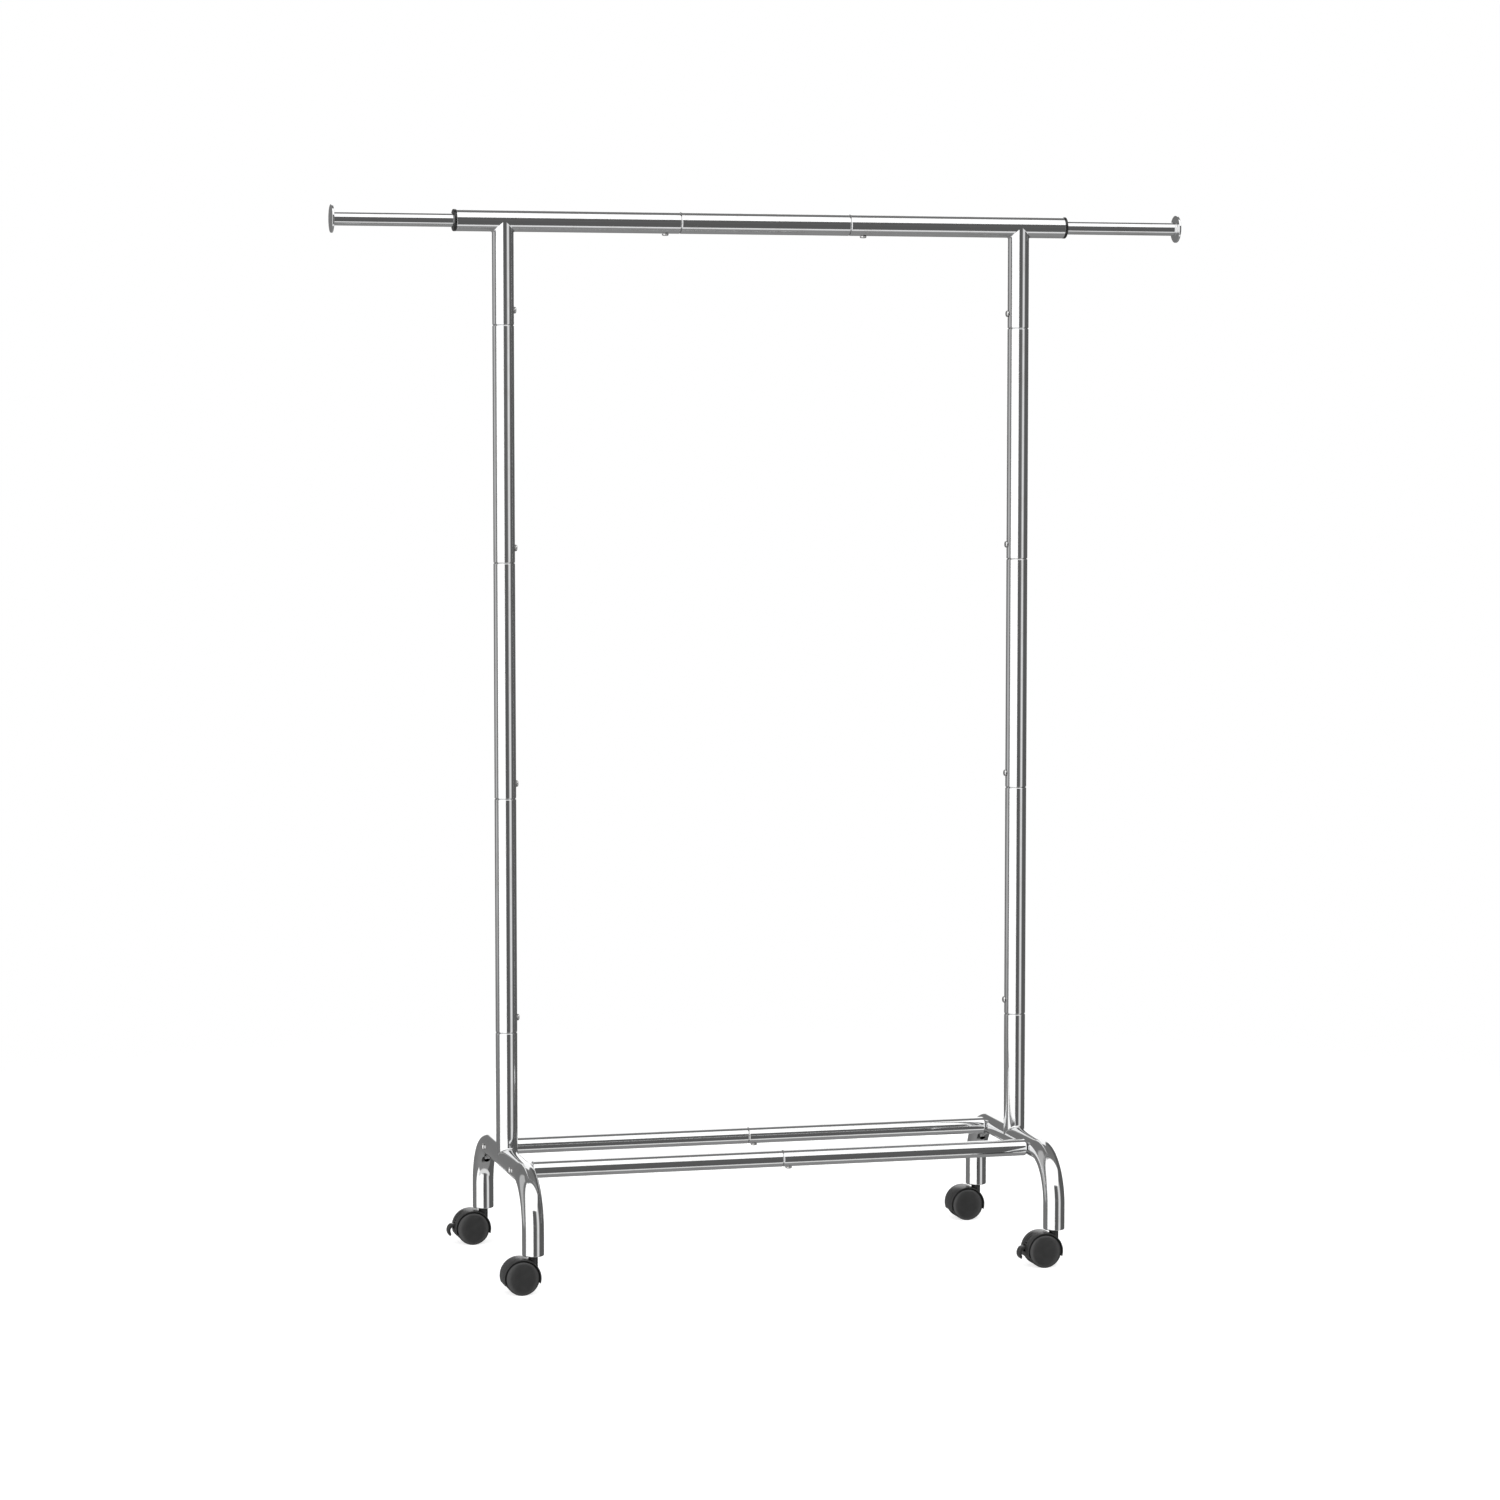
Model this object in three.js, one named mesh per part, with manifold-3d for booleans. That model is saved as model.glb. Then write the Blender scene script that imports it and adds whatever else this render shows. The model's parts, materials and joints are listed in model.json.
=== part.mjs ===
// Rolling clothes rack: a knock-down frame of slip-fit steel tubes on four twin-wheel casters,
// with a pull-out rod at each end of the top rail.
// Millimetres. +X is the rack's right, +Y its back, +Z up. The origin is on the floor, at its centre.

import * as THREE from 'three';
import { mergeVertices } from 'three/addons/utils/BufferGeometryUtils.js';
import Module from 'manifold-3d';

const wasm = await Module();
wasm.setup();

// ---------------------------------------------------------------- driving dimensions

// Tubes: outer radius and wall.
const FRAME_TUBE = { radius: 16, wall: 1.2 };
const SHELF_TUBE = { radius: 12.5, wall: 1.0 };
const ROD_TUBE = { radius: 10, wall: 1.2 };
const SLIP = 0.5; // radial play between a spigot and the tube it enters
const SEAT = 0.15; // half of the gap that pieces keep where they meet
const FRAME_SPIGOT = 38; // length of the swaged end of a frame tube
const SHELF_SPIGOT = 30;

// Posts: one at each side, each of three tubes between the leg arch and the top rail.
const POST_X = 396;
const POST_JOINTS = [353, 701, 1049, 1397];
const POST_SCREW_RISE = 22; // from a joint up to its screw

// Top rail: a tee at each side and a middle tube.
const RAIL_Z = 1549;
const RAIL_JOINT_X = 130;
const RAIL_END_X = 466;
const RAIL_SCREW_X = 152;

// Pull-out rods, with an end disc, a collar in the rail end, and a guide ring inside the rail.
const DISC_RADIUS = 20.5;
const DISC_FACE_X = 649.5;
const DISC_THICKNESS = 3;
const COLLAR_FLANGE = 4;
const COLLAR_SLEEVE = 38;
const GUIDE_FLANGE = 15;
const GUIDE_PLUG = 15;
const ROD_PLAY = 0.45;

// Leg arches: an upside-down U at each side, running from front to back.
const ARCH_Z = 164;
const BEND_RADIUS = 72;
const LEG_Y = 192;
const LEG_BOTTOM_Z = 55;
const DRAIN_RADIUS = 4.5;
const DRAIN_ANGLE = 48; // degrees up the bend from the leg

// Shelf rails: one in front and one behind, each of two halves.
const SHELF_Y = 103;
const SHELF_SCREW_X = 10;
const SHELF_END_WALL = 3;
const SHELF_END_ROUND = 2.6;

// Screws: pan head and shank.
const HEAD_RADIUS = 5;
const HEAD_HEIGHT = 3;
const SHANK_RADIUS = 2.4;
const SCREW_HOLE = 2.9;
const SHORT_SCREW = 9;
const LEG_SCREW = 40;

// Casters: the axle trails behind the stem, towards -X.
const TRAIL = 18.5;
const WHEEL_RADIUS = 25;
const WHEEL_INNER_Y = 7.2;
const WHEEL_OUTER_Y = 20;
const SPINDLE_RADIUS = 3.9;
const SPINDLE_REACH = 14.5;
const SPINDLE_PLAY = 0.5;
const HOOD_RADIUS = 27.5;
const HOOD_WALL = 1.5;
const HOOD_WIDTH = 36;
const HOOD_FROM = -17; // degrees round the axle, from +X upwards
const HOOD_TO = 201;
const WEB_WIDTH = 8;
const WEB_HUB = 11; // radius of the web's lower edge, below the axle
const WEB_HUB_FROM = 235;
const WEB_HUB_TO = 305;
const BOSS_RADIUS = 7;
const BOSS_TOP = 54;
const STEM_RADIUS = 4;
const STEM_FLANGE = 6.3;
const STEM_FLANGE_THICKNESS = 0.9;
const STEM_BOTTOM = 34.5;
const STEM_TOP = 84;
const SOCKET_TOP = 90;

// Brake lever, in the plane of a wheel, from the axle.
const LEVER_PIVOT = [-17.5, 5];
const LEVER_PIN = 1.5;
const LEVER_HUB = 3.2;
const LEVER_ARM = 3.4;
const LEVER_ARM_WIDTH = 7;
const LEVER_HOOK_WIDTH = 12;
const LEVER_ROOT_X = -26.2; // where the arm becomes the hooked tab
const LEVER_ARM_OVERLAP = 1.3;

// The hood round the brake lever: the block that holds its pin, the openings that it needs, and a
// guide slot on top. Heights are from the axle.
const CHEEK_WIDTH = 12.8;
const CHEEK_RADIUS = 5.4;
const ARM_OPENING = { fromX: -24.9, pastPivot: 6.5, bottom: -4, top: 12, side: 0.4 };
const TAB_OPENING = { fromX: -30, bottom: -2.2, top: 8.6, side: 0.5 };
const GUIDE_SLOT = { length: 12, width: 2.2, tilt: 46 };

// Facets round each kind of piece.
const TUBE_SIDES = 16;
const WHEEL_SIDES = 24;
const SMALL_SIDES = 12;
const HOLE_SIDES = 8;
const BEND_STEPS = 5;

// ---------------------------------------------------------------- materials

const chrome = { color: 0xc9ccd0, roughness: 0.12, metalness: 1 };
const screwSteel = { color: 0xb4b7bb, roughness: 0.28, metalness: 1 };
const blackPlastic = { color: 0x2b2b2c, roughness: 0.45, metalness: 0 };
const hubPlastic = { color: 0x1f1f20, roughness: 0.38, metalness: 0 };
const stemSteel = { color: 0x3a3b3d, roughness: 0.4, metalness: 1 };

// ---------------------------------------------------------------- solids

function toSolid(geometry) {
  const bare = geometry.clone();
  bare.deleteAttribute('normal');
  bare.deleteAttribute('uv');
  const merged = mergeVertices(bare, 1e-4);
  const index = merged.getIndex().array;
  const triangles = [];
  for (let i = 0; i < index.length; i += 3) {
    const [a, b, c] = [index[i], index[i + 1], index[i + 2]];
    if (a !== b && b !== c && c !== a) {
      triangles.push(a, b, c);
    }
  }
  const mesh = new wasm.Mesh({
    numProp: 3,
    vertProperties: new Float32Array(merged.getAttribute('position').array),
    triVerts: new Uint32Array(triangles),
  });
  return new wasm.Manifold(mesh);
}

function toGeometry(solid) {
  const mesh = solid.getMesh();
  const geometry = new THREE.BufferGeometry();
  geometry.setAttribute('position', new THREE.BufferAttribute(new Float32Array(mesh.vertProperties), 3));
  geometry.setIndex(new THREE.BufferAttribute(new Uint32Array(mesh.triVerts), 1));
  geometry.computeVertexNormals();
  return geometry;
}

function joined(...geometries) {
  return geometries.map(toSolid).reduce((sum, next) => sum.add(next));
}

function cut(solid, ...geometries) {
  return geometries.map(toSolid).reduce((rest, next) => rest.subtract(next), solid);
}

// ---------------------------------------------------------------- basic shapes

// A profile of [radius, height] points, turned round +Z. It runs up the outside and down the inside.
function turned(profile, sides) {
  const points = profile.map(([radius, height]) => new THREE.Vector2(radius, height));
  return new THREE.LatheGeometry(points, sides).rotateX(Math.PI / 2);
}

function rod(radius, from, to, sides = SMALL_SIDES) {
  return turned([[0, from], [radius, from], [radius, to], [0, to]], sides);
}

const alongX = (geometry) => geometry.rotateY(Math.PI / 2);
const alongY = (geometry) => geometry.rotateX(-Math.PI / 2);

// A shape drawn in X and Z, made into a plate of this width across Y.
function plate(shape, width, segments = 6) {
  const options = { depth: width, bevelEnabled: false, curveSegments: segments };
  const geometry = new THREE.ExtrudeGeometry(shape, options);
  return geometry.rotateX(Math.PI / 2).translate(0, width / 2, 0);
}

function block(x, y, z) {
  const [[x0, x1], [y0, y1], [z0, z1]] = [x, y, z];
  const geometry = new THREE.BoxGeometry(x1 - x0, y1 - y0, z1 - z0);
  return geometry.translate((x0 + x1) / 2, (y0 + y1) / 2, (z0 + z1) / 2);
}

const radians = THREE.MathUtils.degToRad;

// ---------------------------------------------------------------- tubes

// One end of a tube, from the outside in, as [radius, distance past the end].
function tubeEnd(kind, { radius, wall }, spigot) {
  const bore = radius - wall;
  const male = bore - SLIP;
  if (kind === 'socket') {
    return [[radius, 0], [bore, 0]];
  }
  if (kind === 'closed') {
    const round = SHELF_END_ROUND;
    return [
      [radius, -round], [radius - round, 0],
      [SCREW_HOLE, 0], [SCREW_HOLE, -SHELF_END_WALL], [bore, -SHELF_END_WALL],
    ];
  }
  return [
    [radius, 0], [male, 0], [male, spigot], [male - wall, spigot], [male - wall, -4], [bore, -9],
  ];
}

// A tube from height 0 to its length; a spigot goes on past the end.
function tubeProfile(tube, length, startKind, endKind, spigot) {
  const start = tubeEnd(startKind, tube, spigot).map(([radius, past]) => [radius, -past]).reverse();
  const end = tubeEnd(endKind, tube, spigot).map(([radius, past]) => [radius, length + past]);
  return [...start, ...end, start[0]];
}

// A hole for a screw that goes through one wall, from the outside towards the tube's axis.
function screwHole(depth) {
  return rod(SCREW_HOLE, -depth, depth, HOLE_SIDES);
}

// A post tube stands on its lower end, with its screw holes facing +X.
function postTube(length) {
  const body = toSolid(turned(tubeProfile(FRAME_TUBE, length, 'socket', 'spigot', FRAME_SPIGOT), TUBE_SIDES));
  const holes = [POST_SCREW_RISE - SEAT, length + POST_SCREW_RISE + SEAT].map((height) => (
    alongX(screwHole(8)).translate(FRAME_TUBE.radius, 0, height)
  ));
  return toGeometry(cut(body, ...holes));
}

// The middle of the top rail, along X about its own centre, with a spigot at both ends.
function middleRail() {
  const half = RAIL_JOINT_X - SEAT;
  const profile = tubeProfile(FRAME_TUBE, 2 * half, 'spigot', 'spigot', FRAME_SPIGOT);
  const body = toSolid(alongX(turned(profile, TUBE_SIDES)).translate(-half, 0, 0));
  const holes = [-RAIL_SCREW_X, RAIL_SCREW_X].map((x) => screwHole(8).translate(x, 0, -FRAME_TUBE.radius));
  return toGeometry(cut(body, ...holes));
}

// The right tee: its length of top rail with a stub of post welded under it.
function tee() {
  const { radius, wall } = FRAME_TUBE;
  const bore = radius - wall;
  const start = RAIL_JOINT_X + SEAT;
  const stubBottom = POST_JOINTS[3] + SEAT;
  const rail = rod(radius, start, RAIL_END_X, TUBE_SIDES);
  const stub = turned([
    [bore, stubBottom], [radius, stubBottom], [radius, RAIL_Z], [bore, RAIL_Z], [bore, stubBottom],
  ], TUBE_SIDES);
  const solid = joined(alongX(rail).translate(0, 0, RAIL_Z), stub.translate(POST_X, 0, 0));
  const railBore = rod(bore, start - 5, RAIL_END_X + 5, TUBE_SIDES);
  return toGeometry(cut(
    solid,
    alongX(railBore).translate(0, 0, RAIL_Z),
    screwHole(8).translate(RAIL_SCREW_X, 0, RAIL_Z - radius),
    alongX(screwHole(8)).translate(POST_X - radius, 0, POST_JOINTS[3] + POST_SCREW_RISE),
  ));
}

// ---------------------------------------------------------------- pull-out rods

// The right rod, with its welded end disc, along +X at its place in the rail.
function pullOutRod() {
  const { radius, wall } = ROD_TUBE;
  const bore = radius - wall;
  const face = DISC_FACE_X;
  const back = face - DISC_THICKNESS;
  const inner = RAIL_END_X - COLLAR_SLEEVE + 2 * SEAT;
  return alongX(turned([
    [0, back], [bore, back], [bore, inner], [radius, inner], [radius, back],
    [DISC_RADIUS, back], [DISC_RADIUS, face], [0, face],
  ], TUBE_SIDES));
}

// The black collar in the right end of the rail, which the rod slides through.
function rodCollar() {
  const bore = ROD_TUBE.radius + ROD_PLAY;
  const sleeve = FRAME_TUBE.radius - FRAME_TUBE.wall - SLIP;
  const flange = FRAME_TUBE.radius + 0.2;
  const seat = RAIL_END_X + 2 * SEAT;
  const inner = RAIL_END_X - COLLAR_SLEEVE;
  const face = seat + COLLAR_FLANGE;
  return alongX(turned([
    [bore, inner], [sleeve, inner], [sleeve, seat], [flange, seat],
    [flange, face - 1.2], [flange - 1.2, face], [bore, face], [bore, inner],
  ], TUBE_SIDES));
}

// The guide ring on the rod's inner end, which keeps the rod central and stops at the collar.
function rodGuide() {
  const ring = FRAME_TUBE.radius - FRAME_TUBE.wall - SLIP;
  const plug = ROD_TUBE.radius - ROD_TUBE.wall - 0.4;
  const seat = RAIL_END_X - COLLAR_SLEEVE;
  const outer = seat - 2 * SEAT;
  const inner = outer - GUIDE_FLANGE;
  return alongX(turned([
    [0, inner], [ring, inner], [ring, outer], [plug, outer],
    [plug, outer + GUIDE_PLUG], [0, outer + GUIDE_PLUG],
  ], SMALL_SIDES));
}

// ---------------------------------------------------------------- leg arches

// The arch's centre line, front to back, with stations only where the tube starts, bends and ends.
class ArchPath extends THREE.Curve {
  constructor(overrun = 0) {
    super();
    const bottom = LEG_BOTTOM_Z - overrun;
    const centre = [LEG_Y - BEND_RADIUS, ARCH_Z - BEND_RADIUS];
    const half = [[LEG_Y, bottom, 0, 1]];
    for (let step = 0; step <= BEND_STEPS; step += 1) {
      const angle = (step / BEND_STEPS) * (Math.PI / 2);
      const [c, s] = [Math.cos(angle), Math.sin(angle)];
      half.push([centre[0] + BEND_RADIUS * c, centre[1] + BEND_RADIUS * s, -s, c]);
    }
    const front = half.map(([y, z, dy, dz]) => ({ at: [0, -y, z], along: [0, -dy, dz] }));
    const back = half.reverse().map(([y, z, dy, dz]) => ({ at: [0, y, z], along: [0, -dy, -dz] }));
    this.stations = [...front, ...back];
  }

  get steps() {
    return this.stations.length - 1;
  }

  getPointAt(u, target = new THREE.Vector3()) {
    return target.fromArray(this.stations[Math.round(u * this.steps)].at);
  }

  getTangentAt(u, target = new THREE.Vector3()) {
    return target.fromArray(this.stations[Math.round(u * this.steps)].along);
  }
}

function sweptRound(radius, sides, overrun) {
  const corners = Array.from({ length: sides }, (_, i) => {
    const angle = (i / sides) * 2 * Math.PI;
    return new THREE.Vector2(radius * Math.cos(angle), radius * Math.sin(angle));
  });
  const path = new ArchPath(overrun);
  return new THREE.ExtrudeGeometry(new THREE.Shape(corners), { steps: path.steps, extrudePath: path });
}

// The right arch: the bent leg tube with the stub of the post welded on top of it.
function legArch() {
  const { radius, wall } = FRAME_TUBE;
  const bore = radius - wall;
  const male = bore - SLIP;
  const joint = POST_JOINTS[0] - SEAT;
  const top = joint + FRAME_SPIGOT;
  const stub = turned([
    [male - wall, ARCH_Z], [radius, ARCH_Z], [radius, joint],
    [male, joint], [male, top], [male - wall, top], [male - wall, ARCH_Z],
  ], TUBE_SIDES);
  const outer = joined(sweptRound(radius, TUBE_SIDES, 0), stub);
  const legScrewHoles = [-SHELF_Y, SHELF_Y].map((y) => (
    alongX(screwHole(20)).translate(0, y, ARCH_Z)
  ));
  const drainHoles = [-1, 1].map((end) => {
    const angle = radians(DRAIN_ANGLE);
    const hole = rod(DRAIN_RADIUS, -radius - 4, -radius / 2);
    hole.rotateX(-end * (Math.PI / 2 - angle));
    return hole.translate(
      0,
      end * (LEG_Y - BEND_RADIUS + BEND_RADIUS * Math.cos(angle)),
      ARCH_Z - BEND_RADIUS + BEND_RADIUS * Math.sin(angle),
    );
  });
  return toGeometry(cut(
    outer,
    sweptRound(bore, SMALL_SIDES, 5),
    alongX(screwHole(8)).translate(-radius, 0, POST_JOINTS[0] + POST_SCREW_RISE),
    ...legScrewHoles,
    ...drainHoles,
  ));
}

// ---------------------------------------------------------------- shelf rails

// A half shelf rail along +X from the middle of the rack to the arch.
function shelfHalf(kind) {
  const length = POST_X - FRAME_TUBE.radius - 3 * SEAT;
  const profile = tubeProfile(SHELF_TUBE, length, kind, 'closed', SHELF_SPIGOT);
  const body = toSolid(alongX(turned(profile, TUBE_SIDES)).translate(SEAT, 0, 0));
  const screwX = kind === 'socket' ? SHELF_SCREW_X : -SHELF_SCREW_X;
  return toGeometry(cut(body, screwHole(6).translate(screwX, 0, -SHELF_TUBE.radius)));
}

// ---------------------------------------------------------------- screws

// A pan-head screw with its head's seat at the origin, pointing down.
function screw(length) {
  return turned([
    [0, -length], [SHANK_RADIUS, -length], [SHANK_RADIUS, 0],
    [HEAD_RADIUS, 0], [HEAD_RADIUS, 0.4 * HEAD_HEIGHT], [0.6 * HEAD_RADIUS, HEAD_HEIGHT],
    [0, HEAD_HEIGHT],
  ], HOLE_SIDES);
}

// ---------------------------------------------------------------- casters

// The wheel on the +Y side, about its axle: tread, flat hub face and a blind bore from inside.
function wheel() {
  const bore = SPINDLE_RADIUS + SPINDLE_PLAY;
  const [inner, outer] = [WHEEL_INNER_Y, WHEEL_OUTER_Y];
  return alongY(turned([
    [0, -outer], [WHEEL_RADIUS - 2, -outer], [WHEEL_RADIUS, -outer + 2], [WHEEL_RADIUS, -inner],
    [bore, -inner], [bore, -SPINDLE_REACH - 0.5], [0, -SPINDLE_REACH - 0.5],
  ], WHEEL_SIDES)).rotateX(Math.PI);
}

function ringSector(outer, inner, from, to) {
  const shape = new THREE.Shape();
  shape.absarc(0, 0, outer, radians(from), radians(to), false);
  shape.absarc(0, 0, inner, radians(to), radians(from), true);
  return shape;
}

// The middle web: the hood's outline above, closing to a small round hub below the axle.
function webShape() {
  const shape = new THREE.Shape();
  shape.absarc(0, 0, HOOD_RADIUS - HOOD_WALL / 2, radians(HOOD_FROM), radians(HOOD_TO), false);
  shape.absarc(0, 0, WEB_HUB, radians(WEB_HUB_FROM), radians(WEB_HUB_TO), false);
  return shape;
}

// The moulded body of a caster, about its axle: hood, web, spindles and the boss round the stem.
function casterHood(braked) {
  const inner = HOOD_RADIUS - HOOD_WALL;
  const parts = [
    plate(ringSector(HOOD_RADIUS, inner, HOOD_FROM, HOOD_TO), HOOD_WIDTH),
    plate(webShape(), WEB_WIDTH),
    rod(BOSS_RADIUS, -2, BOSS_TOP - WHEEL_RADIUS).translate(TRAIL, 0, 0),
    alongY(rod(SPINDLE_RADIUS, -SPINDLE_REACH, SPINDLE_REACH)),
  ];
  const cuts = [
    rod(STEM_RADIUS + SPINDLE_PLAY, STEM_BOTTOM - WHEEL_RADIUS - 0.5, BOSS_TOP).translate(TRAIL, 0, 0),
  ];
  if (!braked) {
    return toGeometry(cut(joined(...parts), ...cuts));
  }
  const [px, pz] = LEVER_PIVOT;
  const half = CHEEK_WIDTH / 2;
  const cheekHeight = CHEEK_RADIUS - 0.2;
  const arm = LEVER_ARM_WIDTH / 2 + ARM_OPENING.side;
  const tab = LEVER_HOOK_WIDTH / 2 + TAB_OPENING.side;
  parts.push(alongY(rod(CHEEK_RADIUS, -half, half)).translate(px, 0, pz));
  parts.push(block([px, 0], [-half, half], [pz - cheekHeight, pz + cheekHeight]));
  cuts.push(block(
    [ARM_OPENING.fromX, px + ARM_OPENING.pastPivot],
    [-arm, arm],
    [ARM_OPENING.bottom, ARM_OPENING.top],
  ));
  cuts.push(block(
    [TAB_OPENING.fromX, ARM_OPENING.fromX],
    [-tab, tab],
    [TAB_OPENING.bottom, TAB_OPENING.top],
  ));
  const guideSlot = block(
    [-GUIDE_SLOT.length / 2, GUIDE_SLOT.length / 2],
    [-GUIDE_SLOT.width / 2, GUIDE_SLOT.width / 2],
    [inner - 0.4, HOOD_RADIUS + 1],
  );
  cuts.push(guideSlot.rotateY(-radians(GUIDE_SLOT.tilt)));
  const pin = toSolid(alongY(rod(LEVER_PIN, -half + 1, half - 1)).translate(px, 0, pz));
  return toGeometry(cut(joined(...parts), ...cuts).add(pin));
}

// The brake lever about the axle: a hub on its pin, an arm out through the hood, and a hooked tab.
function brakeLever() {
  const [px, pz] = LEVER_PIVOT;
  const armHalf = LEVER_ARM / 2;
  const tab = new THREE.Shape();
  tab.moveTo(LEVER_ROOT_X, pz - armHalf);
  tab.lineTo(LEVER_ROOT_X, pz + armHalf);
  tab.lineTo(-32, 6.9);
  tab.quadraticCurveTo(-36.4, 5, -37.5, -1.5);
  tab.quadraticCurveTo(-38, -6.5, -33.6, -12);
  tab.quadraticCurveTo(-31.6, -8.6, -33.3, -5.4);
  tab.quadraticCurveTo(-34.6, 1.2, LEVER_ROOT_X, pz - armHalf);
  const solid = joined(
    plate(tab, LEVER_HOOK_WIDTH, 3),
    block(
      [LEVER_ROOT_X - LEVER_ARM_OVERLAP, px],
      [-LEVER_ARM_WIDTH / 2, LEVER_ARM_WIDTH / 2],
      [pz - armHalf, pz + armHalf],
    ),
    alongY(rod(LEVER_HUB, -LEVER_ARM_WIDTH / 2, LEVER_ARM_WIDTH / 2)).translate(px, 0, pz),
  );
  return toGeometry(cut(solid, alongY(rod(LEVER_PIN + 0.4, -10, 10)).translate(px, 0, pz)));
}

// The steel stem that the caster turns on, with a small flange under the leg.
function stem() {
  const under = BOSS_TOP + 2 * SEAT;
  const over = under + STEM_FLANGE_THICKNESS;
  return turned([
    [0, STEM_BOTTOM], [STEM_RADIUS, STEM_BOTTOM], [STEM_RADIUS, under],
    [STEM_FLANGE, under], [STEM_FLANGE, over], [STEM_RADIUS, over],
    [STEM_RADIUS, STEM_TOP], [0, STEM_TOP],
  ], HOLE_SIDES);
}

// The plastic socket inside the leg that grips the stem.
function socket() {
  const outer = FRAME_TUBE.radius - FRAME_TUBE.wall - SLIP - 0.2;
  const bore = STEM_RADIUS + 0.4;
  const bottom = BOSS_TOP + STEM_FLANGE_THICKNESS + 4 * SEAT;
  return turned([
    [bore, bottom], [outer, bottom], [outer, SOCKET_TOP],
    [0, SOCKET_TOP], [0, STEM_TOP + 0.5], [bore, STEM_TOP + 0.5], [bore, bottom],
  ], SMALL_SIDES);
}

// ---------------------------------------------------------------- assembly

const rack = new THREE.Group();

function piece(parent, name, geometry, look, at = [0, 0, 0], turn = [0, 0, 0]) {
  const mesh = new THREE.Mesh(geometry, new THREE.MeshStandardMaterial(look));
  mesh.name = name;
  mesh.position.set(...at);
  mesh.rotation.set(...turn);
  parent.add(mesh);
}

piece(rack, 'rail_middle', middleRail(), chrome, [0, 0, RAIL_Z]);

// Both sides are the same, turned half round about the middle of the rack.
const sides = [{ side: 'right', turn: 0 }, { side: 'left', turn: Math.PI }];
const tubeNames = ['lower', 'middle', 'upper'];
const headGap = 2 * SEAT;
for (const { side, turn } of sides) {
  const group = new THREE.Group();
  group.rotation.z = turn;
  rack.add(group);
  piece(group, `${side}_tee`, tee(), chrome);
  piece(group, `${side}_rod`, pullOutRod(), chrome, [0, 0, RAIL_Z]);
  piece(group, `${side}_rod_collar`, rodCollar(), blackPlastic, [0, 0, RAIL_Z]);
  piece(group, `${side}_rod_guide`, rodGuide(), blackPlastic, [0, 0, RAIL_Z]);
  piece(group, `${side}_leg_arch`, legArch(), chrome, [POST_X, 0, 0]);
  tubeNames.forEach((name, i) => {
    const bottom = POST_JOINTS[i] + SEAT;
    const length = POST_JOINTS[i + 1] - POST_JOINTS[i] - 2 * SEAT;
    piece(group, `${side}_post_${name}`, postTube(length), chrome, [POST_X, 0, bottom], [0, 0, Math.PI]);
  });
  piece(group, `${side}_rail_screw`, screw(SHORT_SCREW), screwSteel,
    [RAIL_SCREW_X, 0, RAIL_Z - FRAME_TUBE.radius - headGap], [Math.PI, 0, 0]);
  POST_JOINTS.forEach((joint, i) => {
    piece(group, `${side}_post_screw_${i + 1}`, screw(SHORT_SCREW), screwSteel,
      [POST_X - FRAME_TUBE.radius - headGap, 0, joint + POST_SCREW_RISE], [0, -Math.PI / 2, 0]);
  });
}

for (const { row, y } of [{ row: 'front', y: -SHELF_Y }, { row: 'back', y: SHELF_Y }]) {
  piece(rack, `shelf_rail_${row}_right`, shelfHalf('socket'), chrome, [0, y, ARCH_Z]);
  piece(rack, `shelf_rail_${row}_left`, shelfHalf('spigot'), chrome, [0, y, ARCH_Z], [0, 0, Math.PI]);
  piece(rack, `shelf_screw_${row}`, screw(SHORT_SCREW - 1), screwSteel,
    [SHELF_SCREW_X, y, ARCH_Z - SHELF_TUBE.radius - headGap], [Math.PI, 0, 0]);
  const screwX = POST_X + FRAME_TUBE.radius + headGap;
  for (const { side, sign } of [{ side: 'right', sign: 1 }, { side: 'left', sign: -1 }]) {
    piece(rack, `leg_screw_${row}_${side}`, screw(LEG_SCREW), screwSteel,
      [sign * screwX, y, ARCH_Z], [0, (sign * Math.PI) / 2, 0]);
  }
}

const casters = [
  { name: 'front_left', x: -POST_X, y: -LEG_Y, braked: false },
  { name: 'front_right', x: POST_X, y: -LEG_Y, braked: true },
  { name: 'back_left', x: -POST_X, y: LEG_Y, braked: true },
  { name: 'back_right', x: POST_X, y: LEG_Y, braked: false },
];
for (const { name, x, y, braked } of casters) {
  const group = new THREE.Group();
  group.position.set(x, y, 0);
  rack.add(group);
  const axle = [-TRAIL, 0, WHEEL_RADIUS];
  piece(group, `caster_${name}_socket`, socket(), blackPlastic);
  piece(group, `caster_${name}_stem`, stem(), stemSteel);
  piece(group, `caster_${name}_hood`, casterHood(braked), blackPlastic, axle);
  piece(group, `caster_${name}_wheel_back`, wheel(), hubPlastic, axle);
  piece(group, `caster_${name}_wheel_front`, wheel(), hubPlastic, axle, [0, 0, Math.PI]);
  if (braked) {
    piece(group, `caster_${name}_brake_lever`, brakeLever(), blackPlastic, axle);
  }
}

export default rack;
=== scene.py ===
"""Looks of a rolling clothes rack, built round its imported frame. Metres, +Z up.

Every piece is a fine mesh that stands for one CAD node. Places and outer sizes come from the
frame. Rolled edges, welds, moulded details, finishes and the studio are made here.
"""

import json
import math
import random

import bmesh
import bpy
from mathutils import Matrix, Vector


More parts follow.
